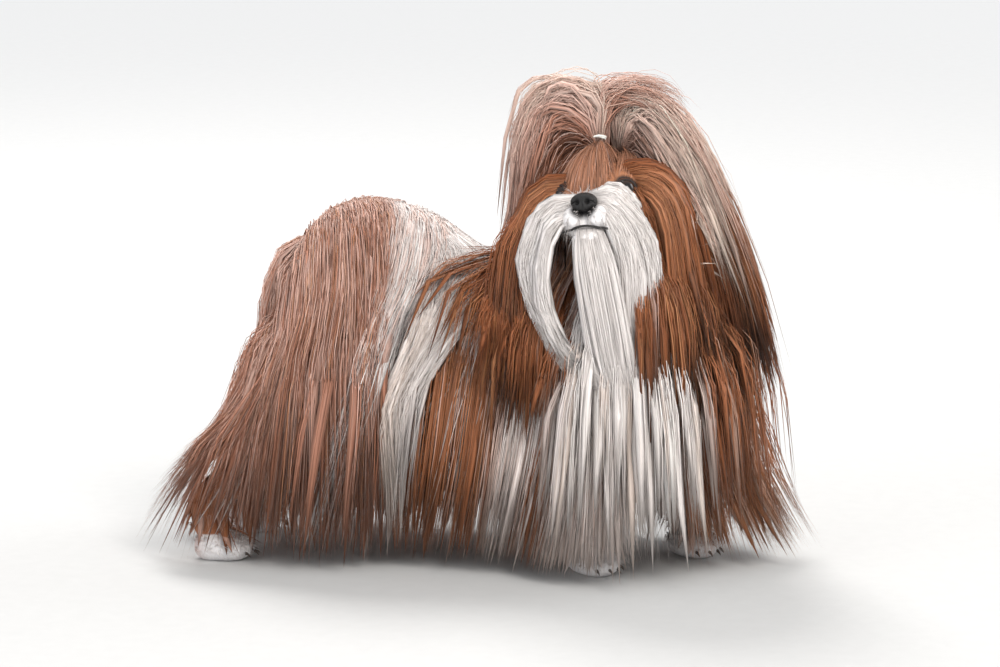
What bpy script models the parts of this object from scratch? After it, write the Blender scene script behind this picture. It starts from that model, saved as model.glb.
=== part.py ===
"""A life-size still model of a standing shih tzu in full show coat, head raised and turned to its right.

Metres, +Z up. The dog faces -Y, its left side is +X, and its paws stand on the plane Z = 0.
The body is a set of swept oval forms. The coat is flat, tapered locks rooted in them: each lock leaves its
root along the lie of the coat, bends under its own weight, and is held off the forms beneath it.
"""

import math
import random

import bmesh
import bpy
import numpy as np
from mathutils import Matrix, Vector

# Driving dimensions

WITHERS_HEIGHT = 0.250  # floor to the skin at the top of the shoulders
TOPLINE_DIP = 0.006  # the back is this much lower behind the withers
CHEST_DEPTH = 0.128  # withers to breastbone
CHEST_HALF_WIDTH = 0.064
LOIN_HALF_WIDTH = 0.054
HIP_HALF_WIDTH = 0.058
PAW_SPACING = 0.062  # middle line to the middle of a front paw
HIND_SPACING = 0.065
FRONT_TURN = math.radians(35)  # the forehand is turned this far towards the dog's right
HIND_TURN = math.radians(-12)
PAW_HALF_WIDTH = 0.023
PAW_HEIGHT = 0.026

SKULL_HALF_WIDTH = 0.050
MUZZLE_HALF_WIDTH = 0.024
NOSE_REACH = 0.070  # middle of the skull to the tip of the nose
NOSE_HALF_WIDTH = 0.0125
EYE_RADIUS = 0.0115
EYE_SPACING = 0.0275  # middle line to the middle of an eye
BANDS = ((0.024, 0.0), (-0.008, 0.011))  # places of the topknot's two bands, forward and left on the skull
BAND_HEIGHT = 0.062  # above the middle of the skull
HEAD_TURN = math.radians(95)
HEAD_PITCH = math.radians(25)
HEAD_ROLL = math.radians(8)

TAIL_RADIUS = 0.011
EAR_LENGTH = 0.062
EAR_HALF_WIDTH = 0.017

LOCK_WIDTH = 0.027
LOCK_THICKNESS = 0.0055
GAP = 0.00035  # kept between touching nodes
OVERLAP = 0.0065  # by which each second lock of a tier stands further out

# Places in plan: the middle of the withers, of the hips and of the skull. The last three values of a place are
# worked out from these.

ORIGIN = Vector((-0.0080, 0.0082, 0.0))  # middle of the whole model's footprint, taken off every place
WITHERS = Vector((0.003, -0.128, 0.0)) - ORIGIN
HIPS = Vector((0.0, 0.1175, 0.0)) - ORIGIN
SKULL = Vector((-0.0405, -0.1215, 0.337)) - ORIGIN

DOWN = Vector((0.0, 0.0, -1.0))
UP = Vector((0.0, 0.0, 1.0))


def heading(turn):
    """Unit vector in plan that points forward for a part turned this far towards the dog's right."""
    return Vector((-math.sin(turn), -math.cos(turn), 0.0))


def left_of(forward):
    """Unit vector in plan that points to the dog's left of a forward direction."""
    return Vector((-forward.y, forward.x, 0.0)).normalized()


# (colour, roughness) of each node
WHITE_HAIR, BROWN_HAIR, EAR_HAIR = (0.80, 0.74, 0.68), (0.34, 0.15, 0.07), (0.17, 0.07, 0.04)
FINISHES = {
    "eye_left": ((0.020, 0.010, 0.006), 0.12),
    "eye_right": ((0.020, 0.010, 0.006), 0.12),
    "nose": ((0.012, 0.011, 0.012), 0.35),
    "topknot_band_front": ((0.85, 0.85, 0.80), 0.45),
    "topknot_band_rear": ((0.72, 0.80, 0.42), 0.45),
    "topknot": (BROWN_HAIR, 0.6),
    "ear_left": (EAR_HAIR, 0.6),
    "ear_right": (EAR_HAIR, 0.6),
    "head": (BROWN_HAIR, 0.6),
    "tail": (BROWN_HAIR, 0.6),
    "neck": (WHITE_HAIR, 0.6),
    "torso": (BROWN_HAIR, 0.6),
    "leg_front_left": (WHITE_HAIR, 0.6),
    "leg_front_right": (WHITE_HAIR, 0.6),
    "leg_hind_left": (BROWN_HAIR, 0.6),
    "leg_hind_right": (BROWN_HAIR, 0.6),
}
ROUND = ("eye_left", "eye_right", "nose", "topknot_band_front", "topknot_band_rear")

FRONT = heading(FRONT_TURN)
FRONT_LEFT = left_of(FRONT)
HIND = heading(HIND_TURN)
HIND_LEFT = left_of(HIND)


class Head:
    """The head's own axes: forward along the muzzle, left and up."""

    level = heading(HEAD_TURN)
    forward = (level * math.cos(HEAD_PITCH) + UP * math.sin(HEAD_PITCH)).normalized()
    flat_left = left_of(level)
    flat_up = forward.cross(flat_left)
    left = flat_left * math.cos(HEAD_ROLL) + flat_up * math.sin(HEAD_ROLL)
    up = forward.cross(left)

    @classmethod
    def gaze(cls, side):
        """Direction in which an eye looks."""
        return (cls.forward * 0.80 + cls.left * side * 0.58 + cls.up * 0.06).normalized()

    @classmethod
    def at(cls, forward, left, up):
        """Place of a point given along the head's axes from the middle of the skull."""
        return SKULL + cls.forward * forward + cls.left * left + cls.up * up


# Forms


def spline(values, t):
    """Smooth curve through evenly spaced values, at t from 0 to 1."""
    last = len(values) - 1
    whole = min(max(t, 0.0), 1.0) * last
    i = min(int(whole), last - 1)
    f = whole - i
    p0, p1 = values[max(i - 1, 0)], values[i]
    p2, p3 = values[i + 1], values[min(i + 2, last)]
    return 0.5 * (2 * p1 + (p2 - p0) * f + (2 * p0 - 5 * p1 + 4 * p2 - p3) * f * f
                  + (3 * p1 - p0 - 3 * p2 + p3) * f * f * f)


class Form:
    """A body form swept along a curve. Its section is an oval with its own half width, rise and drop.

    Each station is (centre, half width, rise above the centre, drop below it). hint is the section's up, and
    ease the share of the length over which the sections turn with the curve.
    """

    BLOBS = 36

    def __init__(self, stations, hint, cap=0.12, end_cap=None, ease=0.03):
        self.centres = [np.array(s[0], float) for s in stations]
        self.sizes = [np.array(s[1:], float) for s in stations]
        self.hint = np.array(hint, float)
        self.cap = cap
        self.ease = ease
        self.end_cap = cap if end_cap is None else end_cap
        frames = [self.frame((i + 0.5) / self.BLOBS) for i in range(self.BLOBS)]
        self.blob_centre = np.array([f[0] for f in frames])
        self.blob_axes = np.array([[f[1], f[2], f[3]] for f in frames])
        self.blob_size = np.array([f[4] for f in frames])

    def round_off(self, t):
        """How much of its size a section has where the form rounds off to its ends."""
        share = 1.0
        if t < self.cap:
            share = math.sqrt(max(0.0, 1 - (1 - t / self.cap) ** 2))
        if 1 - t < self.end_cap:
            share = min(share, math.sqrt(max(0.0, 1 - (1 - (1 - t) / self.end_cap) ** 2)))
        return share

    def frame(self, t):
        """(centre, side, up, along, sizes) of the section at t."""
        centre = spline(self.centres, t)
        along = spline(self.centres, min(t + self.ease, 1)) - spline(self.centres, max(t - self.ease, 0))
        along /= np.linalg.norm(along)
        up = self.hint - along * (self.hint @ along)
        up /= np.linalg.norm(up)
        side = np.cross(along, up)
        return centre, side, up, along, np.maximum(spline(self.sizes, t), 0.001) * self.round_off(t)

    def surface(self, t, degrees, lift=0.0):
        """(place, outward) on the skin at t. Degrees run from the side, 0, over the top, 90."""
        centre, side, up, _, size = self.frame(t)
        a = math.radians(degrees)
        height = size[1] if math.sin(a) > 0 else size[2]
        place = centre + side * size[0] * math.cos(a) + up * height * math.sin(a)
        out = side * math.cos(a) / max(size[0], 1e-4) + up * math.sin(a) / max(height, 1e-4)
        out /= np.linalg.norm(out)
        return Vector(place + out * lift), Vector(out)

    def gap(self, point):
        """(distance outside the form, outward direction) for a point, from a row of oval balls along it."""
        q = np.array(point) - self.blob_centre
        x = (q * self.blob_axes[:, 0]).sum(1)
        y = (q * self.blob_axes[:, 1]).sum(1)
        z = (q * self.blob_axes[:, 2]).sum(1)
        a = np.maximum(self.blob_size[:, 0], 0.002)
        b = np.maximum(np.where(y > 0, self.blob_size[:, 1], self.blob_size[:, 2]), 0.002)
        c = 0.6 * np.minimum(a, b) + 0.001
        k = np.sqrt((x / a) ** 2 + (y / b) ** 2 + (z / c) ** 2) + 1e-9
        away = np.linalg.norm(q, axis=1) * (1 - 1 / k)
        i = int(np.argmin(away))
        out = (self.blob_axes[i, 0] * x[i] / a[i] ** 2 + self.blob_axes[i, 1] * y[i] / b[i] ** 2
               + self.blob_axes[i, 2] * z[i] / c[i] ** 2)
        return float(away[i]), Vector(out / (np.linalg.norm(out) + 1e-12))

    def onto(self, point):
        """The place on the skin next to a point."""
        away, out = self.gap(point)
        for _ in range(4):
            point = point - out * away
            away, out = self.gap(point)
        return point

    def shell(self, rings=12, sides=14, grow=0.0):
        """(points, faces) of the closed skin, moved outward by grow."""
        points, faces = [], []
        for ring in range(rings):
            even = (ring + 0.6) / (rings + 0.2)
            t = 0.45 * even + 0.55 * (1 - math.cos(math.pi * even)) / 2
            for side in range(sides):
                points.append(self.surface(t, 360 * side / sides)[0])
        for ring in range(rings - 1):
            for side in range(sides):
                a, b = ring * sides + side, ring * sides + (side + 1) % sides
                faces += [(a, b, b + sides), (a, b + sides, a + sides)]
        for side in range(sides):
            faces.append((len(points), (side + 1) % sides, side))
            base = (rings - 1) * sides
            faces.append((len(points) + 1, base + side, base + (side + 1) % sides))
        points += [Vector(self.frame(0.0)[0]), Vector(self.frame(1.0)[0])]
        return swell(points, faces, grow), faces


def swell(points, faces, grow):
    """The points of a closed shell, each moved outward by grow."""
    if not grow:
        return points
    normals = [Vector() for _ in points]
    for a, b, c in faces:
        normal = (points[b] - points[a]).cross(points[c] - points[a]).normalized()
        for i in (a, b, c):
            normals[i] += normal
    volume = sum(points[a].dot(points[b].cross(points[c])) for a, b, c in faces)
    sign = 1.3 if volume > 0 else -1.3
    return [p + n.normalized() * grow * sign for p, n in zip(points, normals)]


def torso_form():
    """Barrel of the body from breastbone to buttocks, bent in plan from the hips' line to the forehand's."""
    back = WITHERS_HEIGHT - TOPLINE_DIP
    middle = WITHERS.lerp(HIPS, 0.36) + Vector((0.008, 0, 0))
    loin = WITHERS.lerp(HIPS, 0.68) + Vector((0.007, 0, 0))
    rise, drop = 0.058, CHEST_DEPTH - 0.058
    shoulder = WITHERS + UP * (WITHERS_HEIGHT - rise)
    return Form(
        [
            (WITHERS + FRONT * 0.050 + UP * 0.182, 0.040, 0.040, 0.042),
            (WITHERS + FRONT * 0.020 + UP * 0.187, 0.058, 0.054, 0.062),
            (shoulder - FRONT * 0.020, CHEST_HALF_WIDTH, rise, drop),
            (middle + UP * (back - 0.055), CHEST_HALF_WIDTH + 0.002, 0.055, 0.064),
            (loin + UP * (back - 0.048), LOIN_HALF_WIDTH, 0.048, 0.048),
            (HIPS + UP * (back - 0.047), HIP_HALF_WIDTH, 0.045, 0.050),
            (HIPS - HIND * 0.047 + UP * (back - 0.055), 0.042, 0.038, 0.042),
        ],
        UP,
        ease=0.25,
    )


def neck_form():
    """Neck, upright from the shoulders to the back of the skull."""
    return Form(
        [
            (WITHERS + FRONT * 0.012 + UP * 0.205, 0.046, 0.046, 0.046),
            (WITHERS.lerp(SKULL, 0.45) + FRONT * 0.012 + UP * 0.105, 0.040, 0.042, 0.042),
            (SKULL - Head.forward * 0.020 - UP * 0.038, 0.036, 0.038, 0.038),
            (SKULL - Head.forward * 0.006 - UP * 0.008, 0.030, 0.030, 0.030),
        ],
        FRONT,
    )


def head_form():
    """Broad round skull that drops at the stop to a short square muzzle."""
    def station(forward, level, half_width, rise, drop):
        return (Head.at(forward, 0, level), half_width, rise, drop)

    return Form(
        [
            station(-0.048, 0.000, 0.036, 0.034, 0.034),
            station(-0.026, 0.001, 0.048, 0.043, 0.042),
            station(-0.004, 0.001, SKULL_HALF_WIDTH, 0.046, 0.044),
            station(0.018, 0.000, SKULL_HALF_WIDTH - 0.003, 0.041, 0.044),
            station(0.036, -0.008, 0.038, 0.026, 0.038),
            station(0.050, -0.020, MUZZLE_HALF_WIDTH + 0.002, 0.015, 0.026),
            station(0.062, -0.022, MUZZLE_HALF_WIDTH - 0.003, 0.012, 0.020),
        ],
        Head.up,
        cap=0.14,
        end_cap=0.10,
    )


def lip_forms():
    """Full upper lips on each side of the middle line, and the chin below the mouth."""
    forms = []
    for side in (1, -1):
        forms.append(Form(
            [
                (Head.at(0.034, side * 0.022, -0.026), 0.007, 0.010, 0.010),
                (Head.at(0.052, side * 0.0155, -0.025), 0.010, 0.012, 0.0115),
                (Head.at(0.069, side * 0.0075, -0.025), 0.0078, 0.008, 0.010),
            ],
            Head.up, cap=0.25))
    forms.append(Form(
        [
            (Head.at(0.030, 0, -0.042), 0.018, 0.008, 0.008),
            (Head.at(0.048, 0, -0.043), 0.017, 0.008, 0.008),
            (Head.at(0.064, 0, -0.042), 0.011, 0.006, 0.008),
        ],
        Head.up, cap=0.25))
    return forms


def eye_place(side):
    """Middle of an eye."""
    return Head.at(0.0325, side * EYE_SPACING, 0.006)


def lid_forms():
    """Upper and lower lids as one fold over each eye."""
    return [
        Form(
            [
                (eye_place(side) + Head.gaze(side) * (u - 0.5) * 2 * (EYE_RADIUS + 0.002),
                 EYE_RADIUS + 0.002, EYE_RADIUS + 0.002, EYE_RADIUS + 0.002)
                for u in (0.0, 0.25, 0.5, 0.75, 1.0)
            ],
            Head.up, cap=0.5)
        for side in (1, -1)
    ]


def lid_openings():
    """Almond shaped cutters that open the lids over each eye."""
    return [
        Form(
            [
                (eye_place(side) + Head.gaze(side) * reach, 0.0092, 0.0074, 0.0060)
                for reach in (0.0050, 0.0120, 0.0190)
            ],
            Head.up).shell(6, 12)
        for side in (1, -1)
    ]


def mouth_cutter():
    """Fine groove of the mouth, round the muzzle from corner to corner between the lips and the chin."""
    places = ((0.040, 0.031, -0.042), (0.056, 0.025, -0.038), (0.070, 0.013, -0.0365), (0.0755, 0.0, -0.0355))
    path = [*places, *[(forward, -left, up) for forward, left, up in places[-2::-1]]]
    return Form([(Head.at(*place), 0.0012, 0.0012, 0.0012) for place in path], Head.up, cap=0.03).shell(14, 6)


def nostril_cutters():
    """Comma shaped hollows of the nose."""
    return [
        Form(
            [
                (Head.at(NOSE_REACH + 0.002, side * 0.0042, -0.0135), 0.0014, 0.0020, 0.0018),
                (Head.at(NOSE_REACH + 0.006, side * 0.0056, -0.0140), 0.0020, 0.0024, 0.0020),
                (Head.at(NOSE_REACH + 0.009, side * 0.0072, -0.0130), 0.0018, 0.0018, 0.0016),
            ],
            Head.up, cap=0.3).shell(6, 8)
        for side in (1, -1)
    ]


def cup_cutter(side):
    """Hollow of an ear's leather, on the side that lies against the head."""
    root = Head.at(-0.014, side * 0.040, 0.024)
    out = (Head.left * side + UP * 0.1).normalized()
    return Form(
        [
            (root + out * 0.008 + DOWN * 0.010, 0.007, 0.003, 0.004),
            (root + out * 0.0165 + DOWN * 0.020, 0.011, 0.003, 0.005),
            (root + out * 0.0215 + DOWN * EAR_LENGTH * 0.60, 0.012, 0.0025, 0.005),
            (root + out * 0.0235 + DOWN * EAR_LENGTH * 0.90, 0.007, 0.002, 0.004),
        ],
        out * side, cap=0.2).shell(8, 8)


def nose_form():
    """Broad, slightly tipped up nose on the end of the muzzle."""
    return Form(
        [
            (Head.at(0.056, 0, -0.011), 0.009, 0.005, 0.008),
            (Head.at(0.066, 0, -0.012), NOSE_HALF_WIDTH, 0.0085, 0.0095),
            (Head.at(NOSE_REACH + 0.004, 0, -0.013), 0.010, 0.006, 0.008),
        ],
        Head.up, cap=0.22)


def topknot_forms():
    """Two gathered stems of hair, one before the other, each held by its band."""
    return [
        Form(
            [
                (Head.at(forward, left, 0.036), 0.012, 0.012, 0.012),
                (Head.at(forward, left, 0.052), 0.0085, 0.0085, 0.0085),
                (Head.at(forward, left, 0.062), 0.0048, 0.0048, 0.0048),
                (Head.at(forward - 0.002, left, 0.072), 0.012, 0.012, 0.012),
                (Head.at(forward - 0.006, left, 0.085), 0.018, 0.018, 0.018),
                (Head.at(forward - 0.010, left, 0.100), 0.014, 0.014, 0.014),
            ],
            Head.forward, cap=0.10)
        for forward, left in BANDS
    ]


def tail_form():
    """Tail set high, arched up and forward over the rump."""
    root = HIPS - HIND * 0.036
    return Form(
        [
            (root + UP * 0.222, 0.013, 0.013, 0.013),
            (root - HIND * 0.014 + UP * 0.262, 0.012, 0.012, 0.012),
            (root - HIND * 0.004 + UP * 0.302, TAIL_RADIUS, TAIL_RADIUS, TAIL_RADIUS),
            (root + HIND * 0.034 + UP * 0.322, 0.010, 0.010, 0.010),
            (root + HIND * 0.082 + UP * 0.313, 0.009, 0.009, 0.009),
            (root + HIND * 0.128 + UP * 0.286, 0.007, 0.007, 0.007),
        ],
        HIND_LEFT,
        cap=0.06,
    )


def front_leg_form(side):
    """Straight fore leg from the shoulder to the pastern. side is 1 on the dog's left and -1 on its right."""
    paw = WITHERS + FRONT * 0.025 + FRONT_LEFT * PAW_SPACING * side
    return Form(
        [
            (paw - FRONT * 0.030 + UP * 0.158, 0.022, 0.030, 0.028),
            (paw - FRONT * 0.024 + UP * 0.118, 0.019, 0.023, 0.023),
            (paw - FRONT * 0.014 + UP * 0.070, 0.016, 0.017, 0.017),
            (paw - FRONT * 0.008 + UP * 0.022, 0.016, 0.017, 0.017),
        ],
        FRONT,
        cap=0.10,
        end_cap=0.16,
    )


def hind_leg_form(side):
    """Hind leg: a full thigh, the stifle forward, the hock back and the pastern upright."""
    hip = HIPS + HIND_LEFT * 0.040 * side
    out = HIND_LEFT * HIND_SPACING * side
    hock = HIPS + out - HIND * (0.138 + 0.008 * -side)
    return Form(
        [
            (hip + UP * 0.196 - HIND * 0.006, 0.026, 0.040, 0.040),
            (HIPS + out * 0.86 + UP * 0.158 - HIND * 0.012, 0.027, 0.042, 0.046),
            (HIPS + out * 0.98 + UP * 0.116 - HIND * 0.050, 0.022, 0.034, 0.032),
            (HIPS + out + UP * 0.086 - HIND * 0.098, 0.017, 0.021, 0.021),
            (hock + UP * 0.058, 0.015, 0.016, 0.016),
            (hock + HIND * 0.004 + UP * 0.020, 0.016, 0.017, 0.017),
        ],
        (HIND * 0.8 + DOWN * 0.6).normalized(),
        cap=0.10,
        end_cap=0.10,
    )


def paw_form(ankle, forward):
    """Round, firm paw pointing forward from the ankle."""
    return Form(
        [
            (ankle - forward * 0.018 + UP * 0.012, 0.016, 0.012, 0.014),
            (ankle + UP * 0.013, PAW_HALF_WIDTH - 0.003, PAW_HEIGHT - 0.010, 0.016),
            (ankle + forward * 0.018 + UP * 0.012, PAW_HALF_WIDTH, PAW_HEIGHT - 0.013, 0.015),
            (ankle + forward * 0.036 + UP * 0.008, 0.016, 0.010, 0.010),
        ],
        UP,
        cap=0.25,
    )


def ear_form(side):
    """Ear leather: a flat drop from the side of the skull."""
    root = Head.at(-0.014, side * 0.040, 0.024)
    out = (Head.left * side + UP * 0.1).normalized()
    return Form(
        [
            (root, 0.012, 0.005, 0.005),
            (root + out * 0.016 + DOWN * 0.006, EAR_HALF_WIDTH, 0.0045, 0.0045),
            (root + out * 0.024 + DOWN * EAR_LENGTH * 0.5, EAR_HALF_WIDTH + 0.002, 0.004, 0.004),
            (root + out * 0.026 + DOWN * EAR_LENGTH, 0.011, 0.003, 0.003),
        ],
        out * side,
        cap=0.15,
    )


FORMS = {
    "torso": torso_form(),
    "neck": neck_form(),
    "head": head_form(),
    "tail": tail_form(),
    "leg_front_left": front_leg_form(1),
    "leg_front_right": front_leg_form(-1),
    "leg_hind_left": hind_leg_form(1),
    "leg_hind_right": hind_leg_form(-1),
    "ear_left": ear_form(1),
    "ear_right": ear_form(-1),
}
ANKLES = {
    "leg_front_left": (WITHERS + FRONT * 0.020 + FRONT_LEFT * PAW_SPACING, FRONT),
    "leg_front_right": (WITHERS + FRONT * 0.020 - FRONT_LEFT * PAW_SPACING, FRONT),
    "leg_hind_left": (HIPS + HIND_LEFT * HIND_SPACING - HIND * 0.126, HIND),
    "leg_hind_right": (HIPS - HIND_LEFT * HIND_SPACING - HIND * 0.142, HIND),
}
PAWS = {name: paw_form(*place) for name, place in ANKLES.items()}


# Locks

STEP = 0.011
MOST_STEPS = 44
MOST_TWIST = math.radians(28)  # from one ring of a lock to the next
SINK = 0.005  # how deep the root of a lock sits in the skin
# Share of its width that a lock has along its length, from root to tip
TAPER_AT = (0.0, 0.18, 0.60, 0.80, 0.92, 1.0)
TAPER = (0.60, 1.0, 1.0, 0.84, 0.50, 0.0)


class Lock:
    """One flat, tapered lock: the path that it follows, the side that faces out, its width and thickness."""

    def __init__(self, path, outs, width, thickness):
        self.width = width
        self.thickness = thickness
        lengths = [0.0]
        for a, b in zip(path, path[1:]):
            lengths.append(lengths[-1] + (b - a).length)
        self.rings = min(max(round(lengths[-1] / 0.048), 3), 5)
        at = [(i / self.rings) ** 1.15 for i in range(self.rings + 1)]
        self.share = np.interp(at, TAPER_AT, TAPER)
        wanted = np.array(at) * lengths[-1]
        self.path = interpolate(wanted, lengths, path)
        self.frames = self.untwisted(interpolate(wanted, lengths, outs))

    def untwisted(self, outs):
        """(across, out) of each ring: the wanted side out, turned little from one ring to the next."""
        frames, last = [], None
        for i in range(self.rings):
            along = (self.path[i + 1] - self.path[max(i - 1, 0)]).normalized()
            out = (outs[i] - along * outs[i].dot(along)).normalized()
            if last is not None:
                carried = (last - along * last.dot(along)).normalized()
                turn = carried.angle(out, 0.0)
                out = carried.slerp(out, min(1.0, MOST_TWIST / max(turn, 1e-6)))
                out = (out - along * out.dot(along)).normalized()
            frames.append((along.cross(out), out))
            last = out
        return frames

    def shell(self, grow=0.0):
        """(points, faces): a three-sided strip with its ridge outward, ending in a point."""
        points, faces = [], []
        for i in range(self.rings):
            share = self.share[i]
            here = self.path[i]
            across, out = self.frames[i]
            half = self.width * share / 2 + grow * 3
            thick = self.thickness * (0.6 + 0.4 * share) + grow * 3
            start = here - out.cross(across) * grow if i == 0 else here
            points.append(start - across * half - out * (thick * 0.35))
            points.append(start + across * half - out * (thick * 0.35))
            points.append(start + out * thick * 0.65)
        points.append(self.path[-1] + (self.path[-1] - self.path[-2]).normalized() * grow * 3)
        for i in range(self.rings - 1):
            for k in range(3):
                a, b = i * 3 + k, i * 3 + (k + 1) % 3
                here = points[a]
                fold = (points[b] - here).cross(points[b + 3] - here).dot(points[a + 3] - here)
                faces += [(a, b, b + 3), (a, b + 3, a + 3)] if fold > 0 else [(a, b, a + 3), (b, b + 3, a + 3)]
        faces.append((2, 1, 0))
        end = (self.rings - 1) * 3
        for k in range(3):
            faces.append((end + k, end + (k + 1) % 3, end + 3))
        return points, faces


def interpolate(wanted, lengths, vectors):
    """Vectors at the wanted lengths."""
    flat = np.array(vectors)
    return [Vector([np.interp(w, lengths, flat[:, k]) for k in range(3)]) for w in wanted]


def drape(root, out, leave, over, reach, bend=0.26, spread=0.0, tip=0.012, sway=Vector()):
    """Path of a lock that falls under its own weight and lies over the forms beneath it.

    root is a place on the skin and out its outward side there. The lock leaves along leave, turns towards the
    ground by the share bend in each step, and keeps its distance from each (form, distance) in over. It ends at
    the length reach, or at the height tip. spread pushes it outward as it nears the floor, and sway leans it.
    """
    points, outs = [root - out * SINK, root + out * 0.001], [out, out]
    direction, facing, travelled = leave.normalized(), out, 0.0
    for _ in range(MOST_STEPS):
        here = points[-1]
        near_floor = max(0.0, 1 - here.z / 0.14)
        flat_out = Vector((facing.x, facing.y, 0.0))
        pull = (DOWN + sway + flat_out * spread * near_floor).normalized()
        direction = (direction * (1 - bend) + pull * bend).normalized()
        there = here + direction * STEP
        travelled += STEP
        for form, distance in over:
            away, push = form.gap(there)
            wanted = distance * min(1.0, travelled / 0.035)
            if away < wanted:
                there += push * (wanted - away)
            if away < 0.05:
                facing = (facing * 0.6 + push * 0.4).normalized()
        step = there - here
        direction = step.normalized() if step.length > 1e-6 else direction
        if there.z <= tip:
            share = (here.z - tip) / max(here.z - there.z, 1e-6)
            there = here.lerp(there, min(max(share, 0.05), 1.0))
        points.append(there)
        outs.append(facing)
        if there.z <= tip + 1e-4 or travelled >= reach:
            break
    return points, outs


class Groomer:
    """Lays locks, with the small differences between one and the next drawn from a fixed seed."""

    def __init__(self, seed):
        self.draw = random.Random(seed)
        self.locks = []

    def vary(self, value, share):
        """The value, up to this share of it more or less."""
        return value * (1 + self.draw.uniform(-share, share))

    def fall(self, root, out, leave, over, reach=0.6, width=LOCK_WIDTH, thickness=LOCK_THICKNESS, tip=0.012,
             **how):
        """Lays one lock that falls from a root over the forms beneath, and each second one over its neighbours."""
        side = out.cross(leave).normalized()
        leave = leave.normalized() + side * self.draw.uniform(-0.04, 0.04)
        lift = (OVERLAP if len(self.locks) % 2 else 0.0) + self.draw.uniform(-0.0008, 0.0008)
        over = [(form, distance + lift) for form, distance in over]
        tip += self.draw.uniform(0.0, 0.010)
        path = drape(root, out, leave, over, self.vary(reach, 0.06), tip=tip, **how)
        self.locks.append(Lock(*path, self.vary(width, 0.12), self.vary(thickness, 0.10)))

    def arch(self, start, middle, end, out, width, thickness=LOCK_THICKNESS):
        """Lays one lock along the arch from start to end that passes near middle."""
        middle = middle + out * (0.004 if len(self.locks) % 2 else 0.0)
        path = [start.lerp(middle, u).lerp(middle.lerp(end, u), u) for u in between(-0.05, 1.05, 10)]
        self.locks.append(Lock(path, [out] * 10, self.vary(width, 0.12), self.vary(thickness, 0.10)))


def between(low, high, count):
    """count values from low to high."""
    return [low + (high - low) * (i + 0.5) / count for i in range(count)]


def limbs(distance):
    """The four legs, each to be kept this far under the coat."""
    return [(FORMS[name], distance) for name in ANKLES]


def torso_locks():
    """The body coat: two tiers each side that fall from the parting along the back, and a breast tier.

    The upper tier ends where the plume of the tail takes its place, and stands furthest out at the shoulders.
    """
    hair, form = Groomer(11), FORMS["torso"]
    for sign in (1, -1):
        for t in between(0.11, 0.64, 6):
            root, out = form.surface(t, 90 - 20 * sign)
            aside = form.surface(t, 90 - 80 * sign)[1]
            fore = max(0.0, 1 - t / 0.34)
            hair.fall(root, out, aside + UP * 0.25, [(form, 0.024 + 0.010 * fore), *limbs(0.018 + 0.020 * fore)],
                      width=LOCK_WIDTH * (1.4 + 0.3 * fore), spread=0.45 + 1.2 * fore)
        for t in between(0.10, 0.99, 7):
            root, out = form.surface(t, 90 - 84 * sign)
            hair.fall(root, out, out + DOWN * 0.5, [(form, 0.011), *limbs(0.010)], spread=0.35,
                      width=LOCK_WIDTH * 1.5)
    for degrees in between(-50, 230, 5):
        root, out = form.surface(0.07, degrees)
        if out.z < 0.7:
            aside = max(0.0, out.dot(FRONT_LEFT))
            hair.fall(root, out, out + DOWN * 0.5, [(form, 0.016 + 0.02 * aside), *limbs(0.015 + 0.02 * aside)],
                      spread=0.5 + 0.8 * aside, width=LOCK_WIDTH * 1.15)
    return hair.locks


def leg_locks(name):
    """The feathering of one leg, in an upper and a lower tier round it."""
    hair, form = Groomer(len(name) + 40), FORMS[name]
    for t, shift, count in ((0.44, 0, 4), (0.70, 30, 3)):
        for degrees in between(shift, 360 + shift, count):
            root, out = form.surface(t, degrees)
            hair.fall(root, out, out + DOWN * 1.4, [(form, 0.006), (PAWS[name], 0.004)],
                      width=LOCK_WIDTH * 1.15, spread=0.25, bend=0.3, tip=0.006)
    return hair.locks


def neck_locks():
    """The mane, and the long bib in front of the chest."""
    hair, form = Groomer(23), FORMS["neck"]
    for t, count in ((0.30, 9), (0.66, 7)):
        for degrees in between(0, 360, count):
            root, out = form.surface(t, degrees)
            ahead, aside = out.dot(FRONT), out.dot(FRONT_LEFT)
            reach = 0.17 + 0.10 * max(ahead, 0) if ahead > -0.3 else 0.13
            over = [(form, 0.012), (FORMS["torso"], 0.045 + 0.012 * max(0.0, aside)),
                    *limbs(0.040 + 0.020 * max(0.0, aside))]
            hair.fall(root, out, out + DOWN * 0.5, over, reach=reach + 0.06 * (t - 0.3), tip=0.022, spread=0.7,
                      width=LOCK_WIDTH * 1.2)
    return hair.locks


def tail_locks():
    """The plume, which parts along the tail's arch and falls on both sides and behind to the floor."""
    hair, form = Groomer(31), FORMS["tail"]
    over = [(form, 0.006), (FORMS["torso"], 0.038), *limbs(0.030)]
    for sign in (1, -1):
        for t in (0.11, *between(0.16, 0.99, 8)):
            root, out = form.surface(t, 52 * sign)
            along = Vector(form.frame(t)[3])
            ahead = min(1.0, max(0.0, t - 0.2) * 1.4)
            hair.fall(root, out, out + along * (0.4 - 0.9 * max(0.0, 0.4 - t)) + UP * 0.15, over, spread=0.4,
                      bend=0.24, width=LOCK_WIDTH * (1.5 - 0.35 * ahead), reach=0.5)
    for t, degrees in ((0.07, 0), (0.16, 26), (0.16, -26), (0.30, 0)):
        root, out = form.surface(t, degrees)
        hair.fall(root, out, out, over, spread=0.6, bend=0.30, width=LOCK_WIDTH * 1.4)
    return hair.locks


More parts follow.
